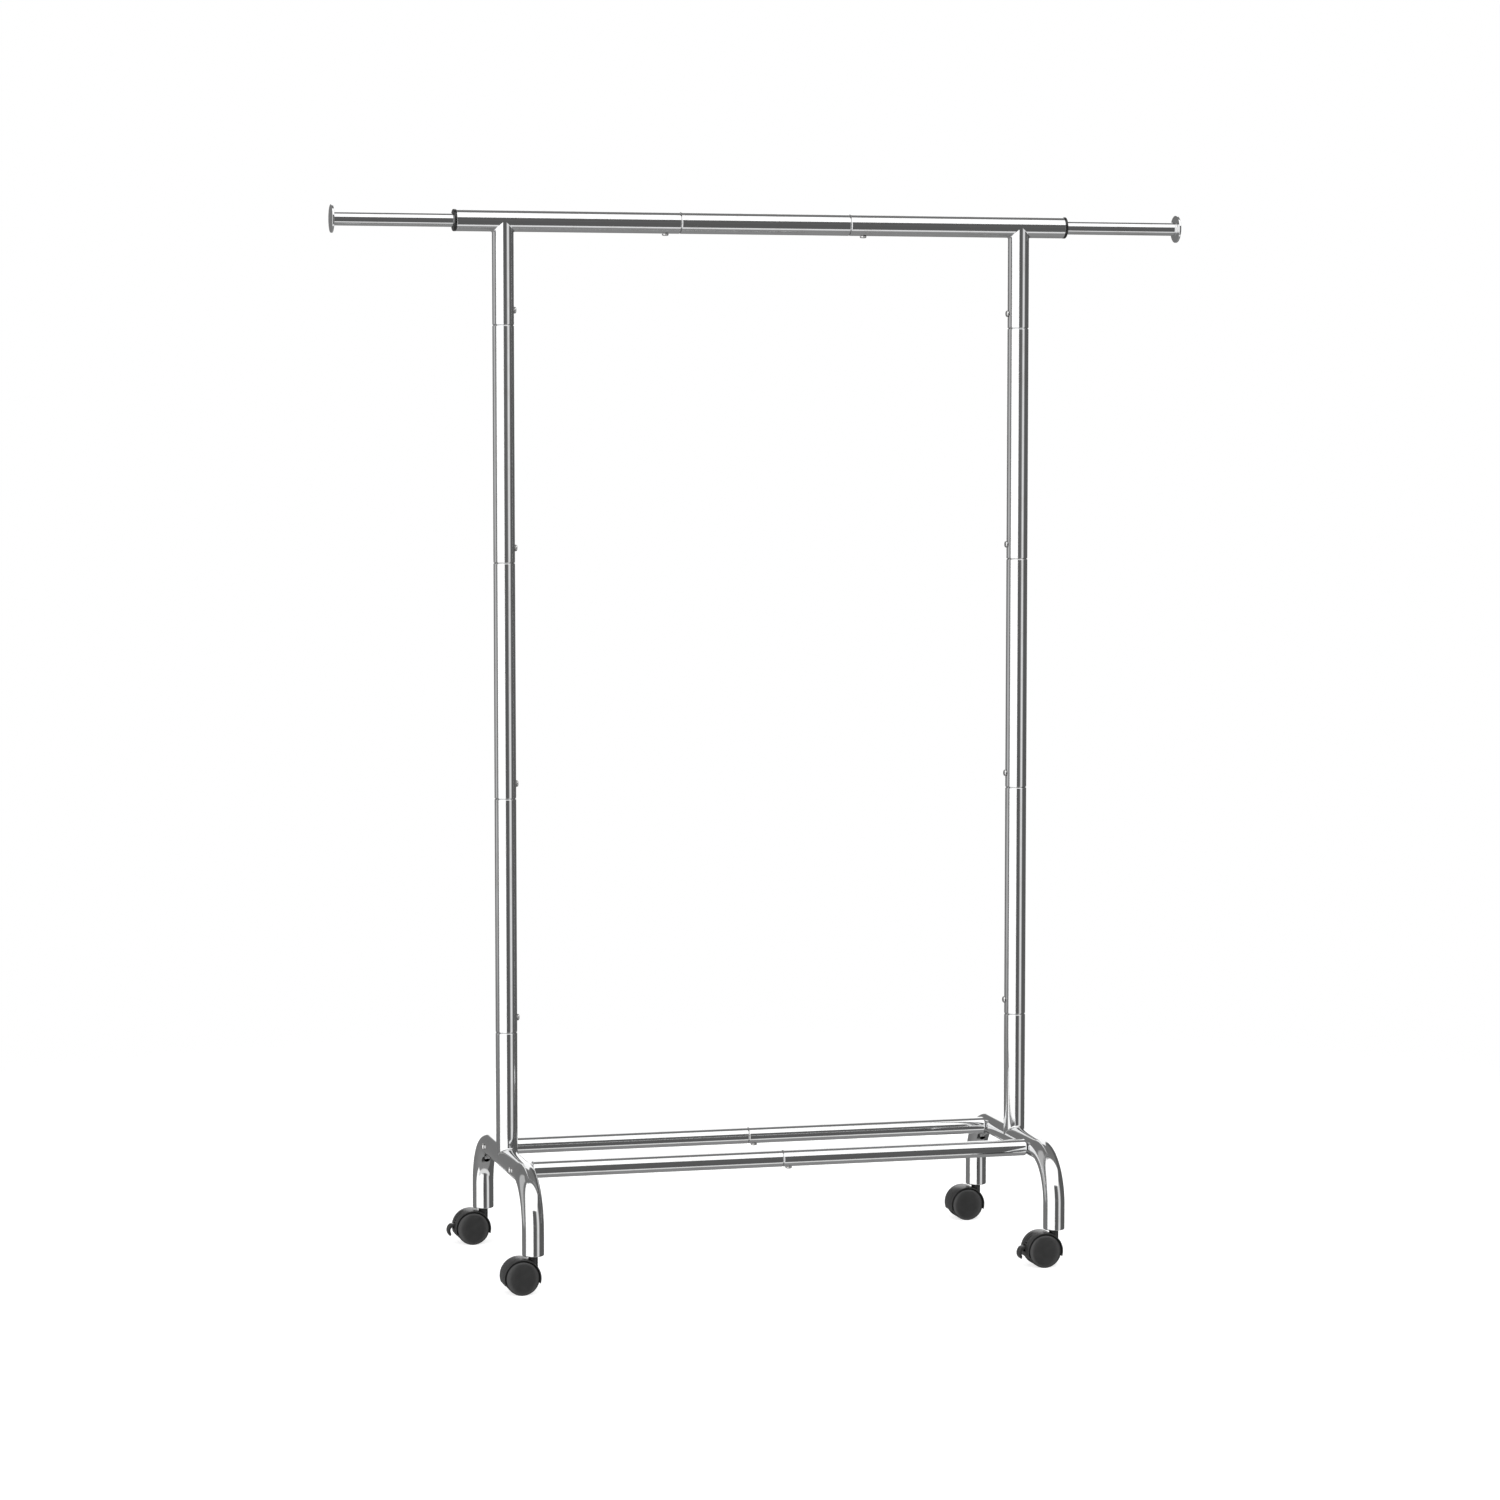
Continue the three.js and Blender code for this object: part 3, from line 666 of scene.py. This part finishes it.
def tee(name, side):
    """An end of the top rail, with a stub of post welded under it."""
    node = f"{name}_tee"
    low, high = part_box(node)
    outer = max(abs(low.x), abs(high.x)) - POST_X
    inner = POST_X - min(abs(low.x), abs(high.x))
    screw = POST_X - abs(centre(f"{name}_rail_screw").x)
    rows = (screw - HEAD_RADIUS, screw + HEAD_RADIUS)
    run_outlines = {
        1: end_outline(PLAIN_FROM, (outer, plain_end(FRAME_RADIUS, FRAME_WALL)), BORE),
        -1: end_outline(PLAIN_FROM, (inner, socket_end(FRAME_RADIUS, FRAME_WALL)), BORE, rows),
    }
    length = RAIL_Z - low.z
    post_screw = RAIL_Z - centre(f"{name}_post_screw_4").z
    rows = (post_screw - HEAD_RADIUS, post_screw + HEAD_RADIUS)
    end = (length, socket_end(FRAME_RADIUS, FRAME_WALL))
    branch = end_outline(PLAIN_FROM, end, BORE, rows, length - BRANCH_DEPTH)
    branch.append(Vector((0, length - BRANCH_DEPTH)))

    def at(a):
        return Vector((POST_X + a, 0, RAIL_Z)), Vector((0, 0, -1))

    turn = Matrix.Rotation(0 if side > 0 else math.pi, 4, "Z")
    made = branched_tube(node, at, Vector((0, -1, 0)), run_outlines, branch, turn)
    x = side * POST_X
    drilled(made, (side * (POST_X - screw), 0, RAIL_Z - FRAME_RADIUS), (0, 0, 1), DRILL_REACH)
    drilled(made, (x - side * FRAME_RADIUS, 0, RAIL_Z - post_screw), (1, 0, 0), DRILL_REACH)
    stand_for(made, node, FRAME_CHROME)


def leg_arch(name, side):
    """The bent tube of two legs, with a stub of post welded on its crown."""
    node = f"{name}_leg_arch"
    low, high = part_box(node)
    height = centre(f"shelf_rail_front_{name}").z
    leg_y = abs(centre(f"caster_front_{name}_stem").y)
    straight = leg_y - BEND_RADIUS
    quarter = BEND_RADIUS * math.pi / 2
    length = straight + quarter + height - BEND_RADIUS - low.z

    def at(a):
        way = math.copysign(1, a)
        past = abs(a) - straight
        if past <= 0:
            return Vector((POST_X, a, height)), Vector((0, 0, 1))
        turn = min(past / BEND_RADIUS, math.pi / 2)
        up = Vector((0, way * math.sin(turn), math.cos(turn)))
        middle = Vector((POST_X, way * straight, height - BEND_RADIUS)) + BEND_RADIUS * up
        return middle - Vector((0, 0, max(past - quarter, 0))), up

    screw = abs(centre(f"leg_screw_front_{name}").y)
    stations = [screw - HEAD_RADIUS, screw + HEAD_RADIUS, straight - MM]
    stations += [straight + quarter * k / BEND_STEPS for k in range(BEND_STEPS + 1)]
    stations.append(straight + quarter + MM)
    run = end_outline(PLAIN_FROM, (length, socket_end(FRAME_RADIUS, FRAME_WALL)), BORE, stations)
    top = high.z - FRAME_SPIGOT - height
    end = (top, spigot_end(FRAME_RADIUS, FRAME_WALL, FRAME_SPIGOT))
    branch = end_outline(PLAIN_FROM, end, BORE, depth=top - BRANCH_DEPTH)
    branch.append(Vector((0, top - BRANCH_DEPTH)))
    turn = Matrix.Rotation(0 if side > 0 else math.pi, 4, "Z")
    made = branched_tube(node, at, Vector((-1, 0, 0)), {1: run, -1: run}, branch, turn)

    for way in (-1, 1):
        drilled(made, (side * POST_X, way * screw, height), (1, 0, 0), ACROSS_DRILL_REACH)
        inward = Vector((0, -way * math.cos(DRAIN_ANGLE), -math.sin(DRAIN_ANGLE)))
        bend = Vector((side * POST_X, way * straight, height - BEND_RADIUS))
        wall = bend - inward * (BEND_RADIUS - FRAME_RADIUS)
        drilled(made, wall, inward, SHORT_DRILL_REACH, DRAIN_RADIUS)
    upper = centre(f"{name}_post_screw_1").z
    drilled(made, (side * (POST_X - FRAME_RADIUS), 0, upper), (1, 0, 0), DRILL_REACH)
    stand_for(made, node, FRAME_CHROME)


# ---------------------------------------------------------------- pull-out rods


def pull_out_rod(name, place):
    """A rod with its end disc welded on."""
    low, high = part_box(f"{name}_rod")
    inner = min(abs(low.x), abs(high.x))
    face = max(abs(low.x), abs(high.x))
    disc = half_size(f"{name}_rod").z
    back = face - DISC_THICKNESS
    outline = rounded([
        (0, back, 0), (ROD_BORE, back, 0), (ROD_BORE, inner, 0.3 * MM), (ROD_RADIUS, inner, 0.5 * MM),
        (ROD_RADIUS, back, 1.3 * MM), (disc, back, 0.5 * MM), (disc, face, 0.7 * MM), (0, face, 0),
    ])
    rod = turned_object(name, outline, TUBE_SIDES, place)
    stand_for(rod, f"{name}_rod", ROD_CHROME)


def rod_collar(name, place):
    """The moulded collar in the rail's open end, which the rod slides through."""
    low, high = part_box(f"{name}_rod_collar")
    inner = min(abs(low.x), abs(high.x))
    face = max(abs(low.x), abs(high.x))
    seat = face - COLLAR_FLANGE
    flange = half_size(f"{name}_rod_collar").z
    hole = ROD_RADIUS + ROD_PLAY
    outline = rounded([
        (hole, inner, 0.3 * MM), (SPIGOT_RADIUS, inner, 0.6 * MM), (SPIGOT_RADIUS, seat, 0),
        (flange, seat, 0.3 * MM), (flange, face, 1.4 * MM), (hole, face, 0.7 * MM),
    ], closed=True)
    collar = turned_object(name, outline, TUBE_SIDES, place, closed=True)
    stand_for(collar, f"{name}_rod_collar", GLOSSY_BLACK)


def rod_guide(name, place):
    """The ring that guides the rod's inner end in the rail, with a plug that holds it in the rod."""
    low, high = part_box(f"{name}_rod_guide")
    inner = min(abs(low.x), abs(high.x))
    plug_end = max(abs(low.x), abs(high.x))
    plug_start = plug_end - GUIDE_PLUG
    plug = ROD_BORE - 0.4 * MM
    ring = half_size(f"{name}_rod_guide").z
    outline = rounded([
        (0, inner, 0), (ring, inner, 0.8 * MM), (ring, plug_start, 0.8 * MM),
        (plug, plug_start, 0), (plug, plug_end, 0.8 * MM), (0, plug_end, 0),
    ])
    guide = turned_object(name, outline, TUBE_SIDES, place)
    stand_for(guide, f"{name}_rod_guide", BLACK)


# ---------------------------------------------------------------- screws

screw_turns = random.Random(5)


def pan_screw(node, out):
    """A cross-recessed screw in the place of this node, whose head faces this way."""
    out = Vector(out)
    half = abs(half_size(node).dot(out))
    length = 2 * half - HEAD_HEIGHT
    seat = centre(node) + out * (half - HEAD_HEIGHT)
    outline = rounded([
        (0, -length, 0), (SHANK_RADIUS, -length, 0.6 * MM), (SHANK_RADIUS, 0, 0),
        (HEAD_RADIUS, 0, 0.2 * MM), (HEAD_RADIUS - 0.1 * MM, HEAD_HEIGHT - 0.25 * MM, 1.9 * MM),
        (0, HEAD_HEIGHT, 0),
    ])
    screw = turned_object(node, outline, SMALL_SIDES)
    half_length, half_width = CROSS_LENGTH / 2, CROSS_WIDTH / 2
    height = (HEAD_HEIGHT - CROSS_DEPTH, HEAD_HEIGHT + MM)
    cross = box_object("slot", (-half_length, half_length), (-half_width, half_width), height)
    other = box_object("slot", (-half_width, half_width), (-half_length, half_length), height)
    carved(screw, carved(cross, other, "UNION"))
    turn = Matrix.Rotation(screw_turns.uniform(0, math.pi / 2), 4, "Z")
    screw.matrix_world = lying(out, seat) @ turn
    stand_for(screw, node, SCREW_PLATE)


# ---------------------------------------------------------------- casters

# Measured from the axle: X points forwards to the stem, Y is sideways, Z is up.
HOOD_WALL = 1.5 * MM
HOOD_FROM = -17  # degrees round the axle, from the front upwards
HOOD_TO = 201
WEB_WIDTH = 8 * MM
WEB_HUB = 11 * MM  # radius of the web's lower edge, below the axle
WEB_HUB_FROM = 235
WEB_HUB_TO = 305
HOOD_PAST_WHEEL = 2.5 * MM
BOSS_RADIUS = 7 * MM
STEM_RADIUS = 4 * MM
STEM_PLAY = 0.5 * MM
STEM_FLANGE = 0.9 * MM
SPINDLE_RADIUS = 3.9 * MM
SPINDLE_REACH = 14.5 * MM

LEVER_PIVOT = Vector((-17.5, 0, 5)) * MM
LEVER_PIN = 1.5 * MM
LEVER_HUB = 3.2 * MM
LEVER_ARM = 3.4 * MM
LEVER_ARM_WIDTH = 7 * MM
LEVER_HOOK_WIDTH = 12 * MM
CHEEK_WIDTH = 12.8 * MM
CHEEK_RADIUS = 5.4 * MM
PIN_INSET = 1 * MM  # of the pin's ends from the cheeks' outer faces
ROOM_SPLIT = -24.9 * MM  # the arm's opening ends here, and the wider one of the hooked tab starts
ARM_ROOM_SIDE = 0.4 * MM
TAB_ROOM_SIDE = 0.5 * MM
PAD_FROM = 115  # degrees round the axle, like the hood's
PAD_TO = 160
PAD_DEPTH = 0.35 * MM
PAD_HALF_WIDTH = 7 * MM
SLOT_AT = 136  # degrees round the axle
SLOT_LENGTH = 12.5 * MM
SLOT_WIDTH = 2.2 * MM
SLOT_REACH = 2.5 * MM  # of the block that cuts it, to both sides of the hood's outer surface

FACE_STEPS = 16
FACE_STEP = 1.4 * MM

axle = centre("caster_front_right_wheel_front")
stem_middle = centre("caster_front_right_stem")
TRAIL = stem_middle.x - axle.x
HOOD_RADIUS = half_size("caster_front_left_wheel_front").x + HOOD_PAST_WHEEL
HOOD_WIDTH = 2 * half_size("caster_front_left_hood").y
BOSS_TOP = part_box("caster_front_left_hood")[1].z - axle.z


def in_mm(points):
    """An outline in metres, from one in millimetres."""
    return [(x * MM, z * MM) for x, z in points]


def hood_shell():
    inner = HOOD_RADIUS - HOOD_WALL
    outline = arc(HOOD_RADIUS, HOOD_FROM, HOOD_TO) + arc(inner, HOOD_TO, HOOD_FROM)
    half = HOOD_WIDTH / 2
    return bevelled(prism_object("shell", outline, -half, half), 0.35 * MM)


def hood_web():
    upper = arc(HOOD_RADIUS - HOOD_WALL / 2, HOOD_FROM, HOOD_TO)
    outline = upper + arc(WEB_HUB, WEB_HUB_FROM, WEB_HUB_TO)
    return bevelled(prism_object("web", outline, -WEB_WIDTH / 2, WEB_WIDTH / 2), 0.5 * MM)


def hood_boss():
    outline = rounded([
        (0, -2 * MM, 0), (BOSS_RADIUS, -2 * MM, 0.4 * MM), (BOSS_RADIUS, BOSS_TOP - 2.3 * MM, 0),
        (BOSS_RADIUS - 0.5 * MM, BOSS_TOP - 2.0 * MM, 0.15 * MM), (BOSS_RADIUS, BOSS_TOP - 1.7 * MM, 0),
        (BOSS_RADIUS, BOSS_TOP, 0.7 * MM), (0, BOSS_TOP, 0),
    ])
    return turned_object("boss", outline, TUBE_SIDES, Matrix.Translation((TRAIL, 0, 0)))


def spindle():
    outline = rounded([
        (0, -SPINDLE_REACH, 0), (SPINDLE_RADIUS, -SPINDLE_REACH, 0.6 * MM),
        (SPINDLE_RADIUS, SPINDLE_REACH, 0.6 * MM), (0, SPINDLE_REACH, 0),
    ])
    return turned_object("spindle", outline, TUBE_SIDES, lying((0, 1, 0)))


def slot_outline(length, width):
    """A slot with round ends, about the local X axis."""
    reach = (length - width) / 2
    right = arc(width / 2, -90, 90, 15, (reach, 0))
    left = arc(width / 2, 90, 270, 15, (-reach, 0))
    return right + left


def slot_tool():
    """A block that cuts the slot with round ends into the hood."""
    tilt = Matrix.Rotation(math.radians(SLOT_AT), 4, Vector((0, -1, 0)))
    place = tilt @ Matrix.Translation((HOOD_RADIUS - SLOT_REACH, 0, 0)) @ lying((1, 0, 0))
    outline = slot_outline(SLOT_LENGTH, SLOT_WIDTH)
    skin = Skin()
    bottom = [skin.mesh.verts.new(place @ Vector((x, y, 0))) for x, y in outline]
    top = [skin.mesh.verts.new(place @ Vector((x, y, 2 * SLOT_REACH))) for x, y in outline]
    skin.mesh.faces.new(bottom)
    skin.mesh.faces.new(top[::-1])
    for k in range(len(outline)):
        skin.mesh.faces.new([bottom[k - 1], bottom[k], top[k], top[k - 1]])
    return skin.made("slot")


def brake_housing(hood):
    """Adds what holds the brake lever: its block and pin, the openings it needs, a pad and a slot."""
    half = CHEEK_WIDTH / 2
    block = prism_object("block", in_mm([
        (-17.5, -0.2), (-17.5, 10.2), (-6, 10.2), (0, 8), (0, -0.2),
    ]), -half, half)
    hood = carved(hood, bevelled(block, 0.4 * MM), "UNION")
    across = lying((0, 1, 0), LEVER_PIVOT)
    outline = rounded([
        (0, -half, 0), (CHEEK_RADIUS, -half, 0.5 * MM), (CHEEK_RADIUS, half, 0.5 * MM), (0, half, 0),
    ])
    hood = carved(hood, turned_object("cheek", outline, TUBE_SIDES, across), "UNION")

    side = LEVER_ARM_WIDTH / 2 + ARM_ROOM_SIDE
    hood = carved(hood, box_object("room", (ROOM_SPLIT, -11 * MM), (-side, side), (-4 * MM, 12 * MM)))
    side = LEVER_HOOK_WIDTH / 2 + TAB_ROOM_SIDE
    hood = carved(hood, box_object("room", (-30 * MM, ROOM_SPLIT), (-side, side), (-2.2 * MM, 8.6 * MM)))
    reach = half - PIN_INSET
    outline = [(0, -reach), (LEVER_PIN, -reach), (LEVER_PIN, reach), (0, reach)]
    hood = carved(hood, turned_object("pin", outline, SMALL_SIDES, across), "UNION")

    pad = arc(HOOD_RADIUS - PAD_DEPTH, PAD_FROM, PAD_TO) + arc(HOOD_RADIUS + MM, PAD_TO, PAD_FROM)
    hood = carved(hood, prism_object("pad", pad, -PAD_HALF_WIDTH, PAD_HALF_WIDTH))
    return carved(hood, slot_tool())


def caster_hood(braked):
    """The moulded body of a caster: its shell, web, boss, spindles and the bore for the stem."""
    hood = carved(hood_shell(), hood_web(), "UNION")
    hood = carved(hood, hood_boss(), "UNION")
    hood = carved(hood, spindle(), "UNION")
    hole = STEM_RADIUS + STEM_PLAY
    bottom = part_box("caster_front_left_stem")[0].z - axle.z - STEM_PLAY
    outline = [(0, bottom), (hole, bottom), (hole, BOSS_TOP + MM), (0, BOSS_TOP + MM)]
    hood = carved(hood, turned_object("bore", outline, SMALL_SIDES, Matrix.Translation((TRAIL, 0, 0))))
    return brake_housing(hood) if braked else hood


def brake_lever():
    """The hooked tab, its arm and the hub that turns on the housing's pin."""
    half = LEVER_HOOK_WIDTH / 2
    outline = in_mm([
        (-26.2, 3.2), (-26.2, 6.9), (-29.1, 7.1), (-32.4, 6.6), (-35.0, 4.9), (-36.8, 2.2), (-38.0, -1.2),
        (-38.2, -4.8), (-37.2, -8.2), (-35.6, -10.6), (-33.9, -12.0), (-33.1, -11.4), (-32.3, -9.6),
        (-32.4, -7.4), (-33.2, -5.2), (-33.5, -3.0), (-32.9, -0.6), (-31.4, 1.6), (-29.2, 3.0),
    ])
    lever = bevelled(prism_object("lever", outline, -half, half), 0.8 * MM, 4, 40)
    width = LEVER_ARM_WIDTH / 2
    height = (LEVER_PIVOT.z - LEVER_ARM / 2, LEVER_PIVOT.z + LEVER_ARM / 2)
    arm = box_object("arm", (-27.5 * MM, LEVER_PIVOT.x), (-width, width), height)
    lever = carved(lever, bevelled(arm, 0.4 * MM), "UNION")
    hub = turned_object("hub", rounded([
        (0, -width, 0), (LEVER_HUB, -width, 0.4 * MM), (LEVER_HUB, width, 0.4 * MM), (0, width, 0),
    ]), SMALL_SIDES, lying((0, 1, 0), LEVER_PIVOT))
    lever = carved(lever, hub, "UNION")
    return drilled(lever, LEVER_PIVOT, (0, 1, 0), 10 * MM, LEVER_PIN + 0.4 * MM)


def wheel_outline():
    """Half of a wheel's section, by radius and distance from the caster's middle, face first."""
    dome = []
    for step in range(FACE_STEPS + 1):
        share = step / FACE_STEPS
        height = 20 - 0.4 * share ** 2 - 1.3 * share ** 6
        dome.append((step * FACE_STEP, height * MM, 0))
    corners = [
        (23.7, 17.6, 0.7), (25, 16.2, 0.9), (25, 12, 0), (25, 7.6, 1.2), (21.6, 7.2, 0.4),
        (21.2, 9.5, 0.4), (9.2, 9.5, 0.4), (8.5, 7.2, 0.4), (4.4, 7.2, 0.3), (4.4, 15, 0.3), (0, 15, 0),
    ]
    return rounded(dome + [(radius * MM, y * MM, turn * MM) for radius, y, turn in corners])


def caster_stem(corner, under, upright):
    """The steel stem, with the flange that rests on the hood's boss."""
    node = f"caster_{corner}_stem"
    low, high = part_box(node)
    flange = half_size(node).x
    over = under + STEM_FLANGE
    outline = rounded([
        (0, low.z, 0), (STEM_RADIUS, low.z, 0.6 * MM), (STEM_RADIUS, under, 0), (flange, under, 0.2 * MM),
        (flange, over, 0.3 * MM), (STEM_RADIUS, over, 0), (STEM_RADIUS, high.z, 0.9 * MM),
        (0, high.z, 0),
    ])
    stand_for(turned_object(node, outline, TUBE_SIDES, upright), node, DARK_STEM)


def caster_socket(corner, upright):
    """The plastic socket in the leg's end, which grips the stem."""
    node = f"caster_{corner}_socket"
    low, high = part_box(node)
    outer, hole = half_size(node).x, STEM_RADIUS + 0.4 * MM
    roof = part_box(f"caster_{corner}_stem")[1].z + 0.5 * MM
    outline = rounded([
        (hole, low.z, 0.4 * MM), (outer, low.z, 0.5 * MM), (outer, high.z, 1.2 * MM), (0, high.z, 0),
        (0, roof, 0), (hole, roof, 0), (hole, low.z + 2 * MM, 0),
    ])
    outline.append(outline[0])
    stand_for(turned_object(node, outline, TUBE_SIDES, upright), node, BLACK)


def placed_copy(name, mesh, place):
    copy = bpy.data.objects.new(name, mesh.copy())
    bpy.context.scene.collection.objects.link(copy)
    copy.matrix_world = place
    return copy


def caster(corner, hood_mesh, lever_mesh):
    at = centre(f"caster_{corner}_wheel_front")
    at.y = centre(f"caster_{corner}_stem").y
    place = Matrix.Translation(at)
    for name, way in zip(ROWS, (-1, 1)):
        node = f"caster_{corner}_wheel_{name}"
        wheel = turned_object(node, wheel_outline(), WHEEL_SIDES, lying((0, way, 0)))
        wheel.matrix_world = place
        stand_for(wheel, node, NYLON)
    stand_for(placed_copy("hood", hood_mesh, place), f"caster_{corner}_hood", BLACK)
    lever_node = f"caster_{corner}_brake_lever"
    if lever_node in frame["nodes"]:
        stand_for(placed_copy("lever", lever_mesh, place), lever_node, BLACK)
    stem = centre(f"caster_{corner}_stem")
    upright = Matrix.Translation((stem.x, stem.y, 0))
    caster_stem(corner, at.z + BOSS_TOP + GAP, upright)
    caster_socket(corner, upright)


# ---------------------------------------------------------------- studio


def sky_band(nodes, value, low, high, soft):
    """One between low and high and nothing outside, with edges soft to both sides by this width."""
    rise = nodes.ramp(value, low - soft, low + soft)
    fall = nodes.ramp(value, high - soft, high + soft, 1.0, 0.0)
    return nodes.math("MULTIPLY", rise, fall)


def studio_light():
    """Soft boxes and dark flags round the rack, each laid over those before it.

    Their angles are degrees from the front towards the right, and degrees up.
    """
    world = bpy.data.worlds.new("studio")
    world.use_nodes = True
    bpy.context.scene.world = world
    nodes = Nodes(world.node_tree)
    towards = nodes.add("TexCoord", {}).outputs["Generated"]
    x, y, z = nodes.add("SeparateXYZ", {"Vector": towards}).outputs
    turn = nodes.math("DEGREES", nodes.math("ARCTAN2", x, nodes.math("MULTIPLY", y, -1.0)))
    rise = nodes.math("DEGREES", nodes.math("ARCSINE", z))
    up = nodes.math("MAXIMUM", z, 0.001)
    down = nodes.math("MAXIMUM", nodes.math("MULTIPLY", z, -1.0), 0.001)

    def panel(light, level, *masks):
        mask = masks[0]
        for more in masks[1:]:
            mask = nodes.math("MULTIPLY", mask, more)
        step = nodes.math("MULTIPLY", mask, nodes.math("SUBTRACT", level, light))
        return nodes.math("ADD", light, step)

    def across(low, high, soft):
        return sky_band(nodes, turn, low, high, soft)

    def height(low, high, soft):
        return sky_band(nodes, rise, low, high, soft)

    # A grey room, a little lighter towards its floor, with an even wall behind on the left.
    light = nodes.ramp(rise, -60, -5, 0.32, 0.22)
    light = panel(light, 0.22, across(-181, -88, 1), height(-8, 90, 1))
    # A screen on that wall, brighter than the room and dimmer than the boxes.
    light = panel(light, 0.60, across(-135, -107, 3), height(-8, 60, 2))
    # A dark flag all along the right, with a slightly lighter gap near the front, level with the eye.
    light = panel(light, 0.13, across(-8, 150, 2), height(-54, 32, 3))
    light = panel(light, 0.17, across(-8, 33, 2), height(-1.5, 1.5, 1))
    # A soft strip in front on the right, the large box in front on the left, and a box behind.
    light = panel(light, 1.0, across(33, 57, 9), height(-40, 50, 8))
    light = panel(light, 1.5, across(-89.5, -7.5, 0.8), height(-45, 75, 3))
    light = panel(light, 1.3, across(150, 178, 2), height(-3, 50, 2))
    # A box overhead and a weaker one below, both towards the front.
    over = sky_band(nodes, nodes.math("DIVIDE", y, up), -1.8, -0.07, 0.03)
    wide = sky_band(nodes, nodes.math("DIVIDE", x, up), -1.5, 1.5, 0.1)
    light = panel(light, 1.6, over, wide, nodes.ramp(z, 0.02, 0.04))
    under = sky_band(nodes, nodes.math("DIVIDE", y, down), -0.84, -0.45, 0.05)
    wide = sky_band(nodes, nodes.math("DIVIDE", x, down), -1.5, 1.5, 0.1)
    light = panel(light, 1.0, under, wide, nodes.ramp(z, -0.02, -0.04))

    # The camera itself sees plain white behind the rack.
    seen = nodes.add("LightPath", {}).outputs["Is Camera Ray"]
    level = nodes.math("ADD", light, nodes.math("MULTIPLY", seen, nodes.math("SUBTRACT", 1.0, light)))
    background = nodes.add("Background", {"Color": grey(1.0), "Strength": level})
    nodes.add("OutputWorld", {"Surface": background.outputs[0]})


def pale_floor():
    """A round white floor that fades into the white behind it, and doesn't show in the chrome."""
    made, nodes = material("white_floor")
    distance = nodes.add("VectorMath", {0: nodes.place()}, operation="LENGTH").outputs["Value"]
    fade = nodes.ramp(distance, 1.1, 2.4)
    texture = nodes.noise(nodes.place(), 400, 2)
    rough = nodes.ramp(texture, 0.3, 0.7, 0.55, 0.7)
    diffuse = nodes.add("BsdfDiffuse", {"Color": grey(0.6), "Roughness": rough})
    glow = nodes.add("Emission", {"Color": grey(1.0), "Strength": 0.7})
    white = nodes.add("AddShader", {0: diffuse.outputs[0], 1: glow.outputs[0]})
    clear = nodes.add("BsdfTransparent", {})
    mixed = nodes.add("MixShader", {0: fade, 1: white.outputs[0], 2: clear.outputs[0]})
    nodes.add("OutputMaterial", {"Surface": mixed.outputs[0]})
    skin = Skin()
    skin.turned([(0, 0), (0.6, 0), (1.2, 0), (2.5, 0)], Matrix.Translation((0, 0, -GAP)), WHEEL_SIDES)
    floor = skin.made("studio_floor")
    floor.data.materials.append(made)
    floor.visible_glossy = False
    floor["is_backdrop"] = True


CAMERA_PLACE = (-1.5624, -5.9584, 1.2457)
CAMERA_ANGLES = (85.54, 0, -14.489)  # degrees about X, Y and Z
CAMERA_LENS = 98.83  # millimetres, on a sensor 36 mm wide


def main_camera():
    """Looks at the rack from the front, a little from the left and slightly downwards."""
    lens = bpy.data.cameras.new("camera")
    lens.lens = CAMERA_LENS
    lens.sensor_width = 36
    camera = bpy.data.objects.new("camera", lens)
    camera.location = CAMERA_PLACE
    camera.rotation_euler = [math.radians(angle) for angle in CAMERA_ANGLES]
    bpy.context.scene.collection.objects.link(camera)
    bpy.context.scene.camera = camera


# ---------------------------------------------------------------- assembly

middle_rail()
for name, side in SIDES.items():
    tee(name, side)
    leg_arch(name, side)
    for index, part in enumerate(POST_PARTS, 1):
        post_tube(f"{name}_post_{part}", f"{name}_post_screw_{index}", side)
    along_rail = lying((side, 0, 0), (0, 0, RAIL_Z))
    pull_out_rod(name, along_rail)
    rod_collar(name, along_rail)
    rod_guide(name, along_rail)
    for row in ROWS:
        shelf_half(row, name, side)
        pan_screw(f"leg_screw_{row}_{name}", (side, 0, 0))
    for index in (1, 2, 3, 4):
        pan_screw(f"{name}_post_screw_{index}", (-side, 0, 0))
    pan_screw(f"{name}_rail_screw", (0, 0, -1))
for row in ROWS:
    pan_screw(f"shelf_screw_{row}", (0, 0, -1))

plain_hood = caster_hood(False)
braked_hood = caster_hood(True)
lever = brake_lever()
for corner in ("front_left", "front_right", "back_left", "back_right"):
    braked = f"caster_{corner}_brake_lever" in frame["nodes"]
    caster(corner, (braked_hood if braked else plain_hood).data, lever.data)
for pattern in (plain_hood, braked_hood, lever):
    bpy.data.objects.remove(pattern)

studio_light()
pale_floor()
main_camera()
bpy.context.scene.view_settings.view_transform = "Standard"

boxes = {"cad": cad_box, "visual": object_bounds()}
{key: [list(corner) for corner in box] for key, box in boxes.items()}
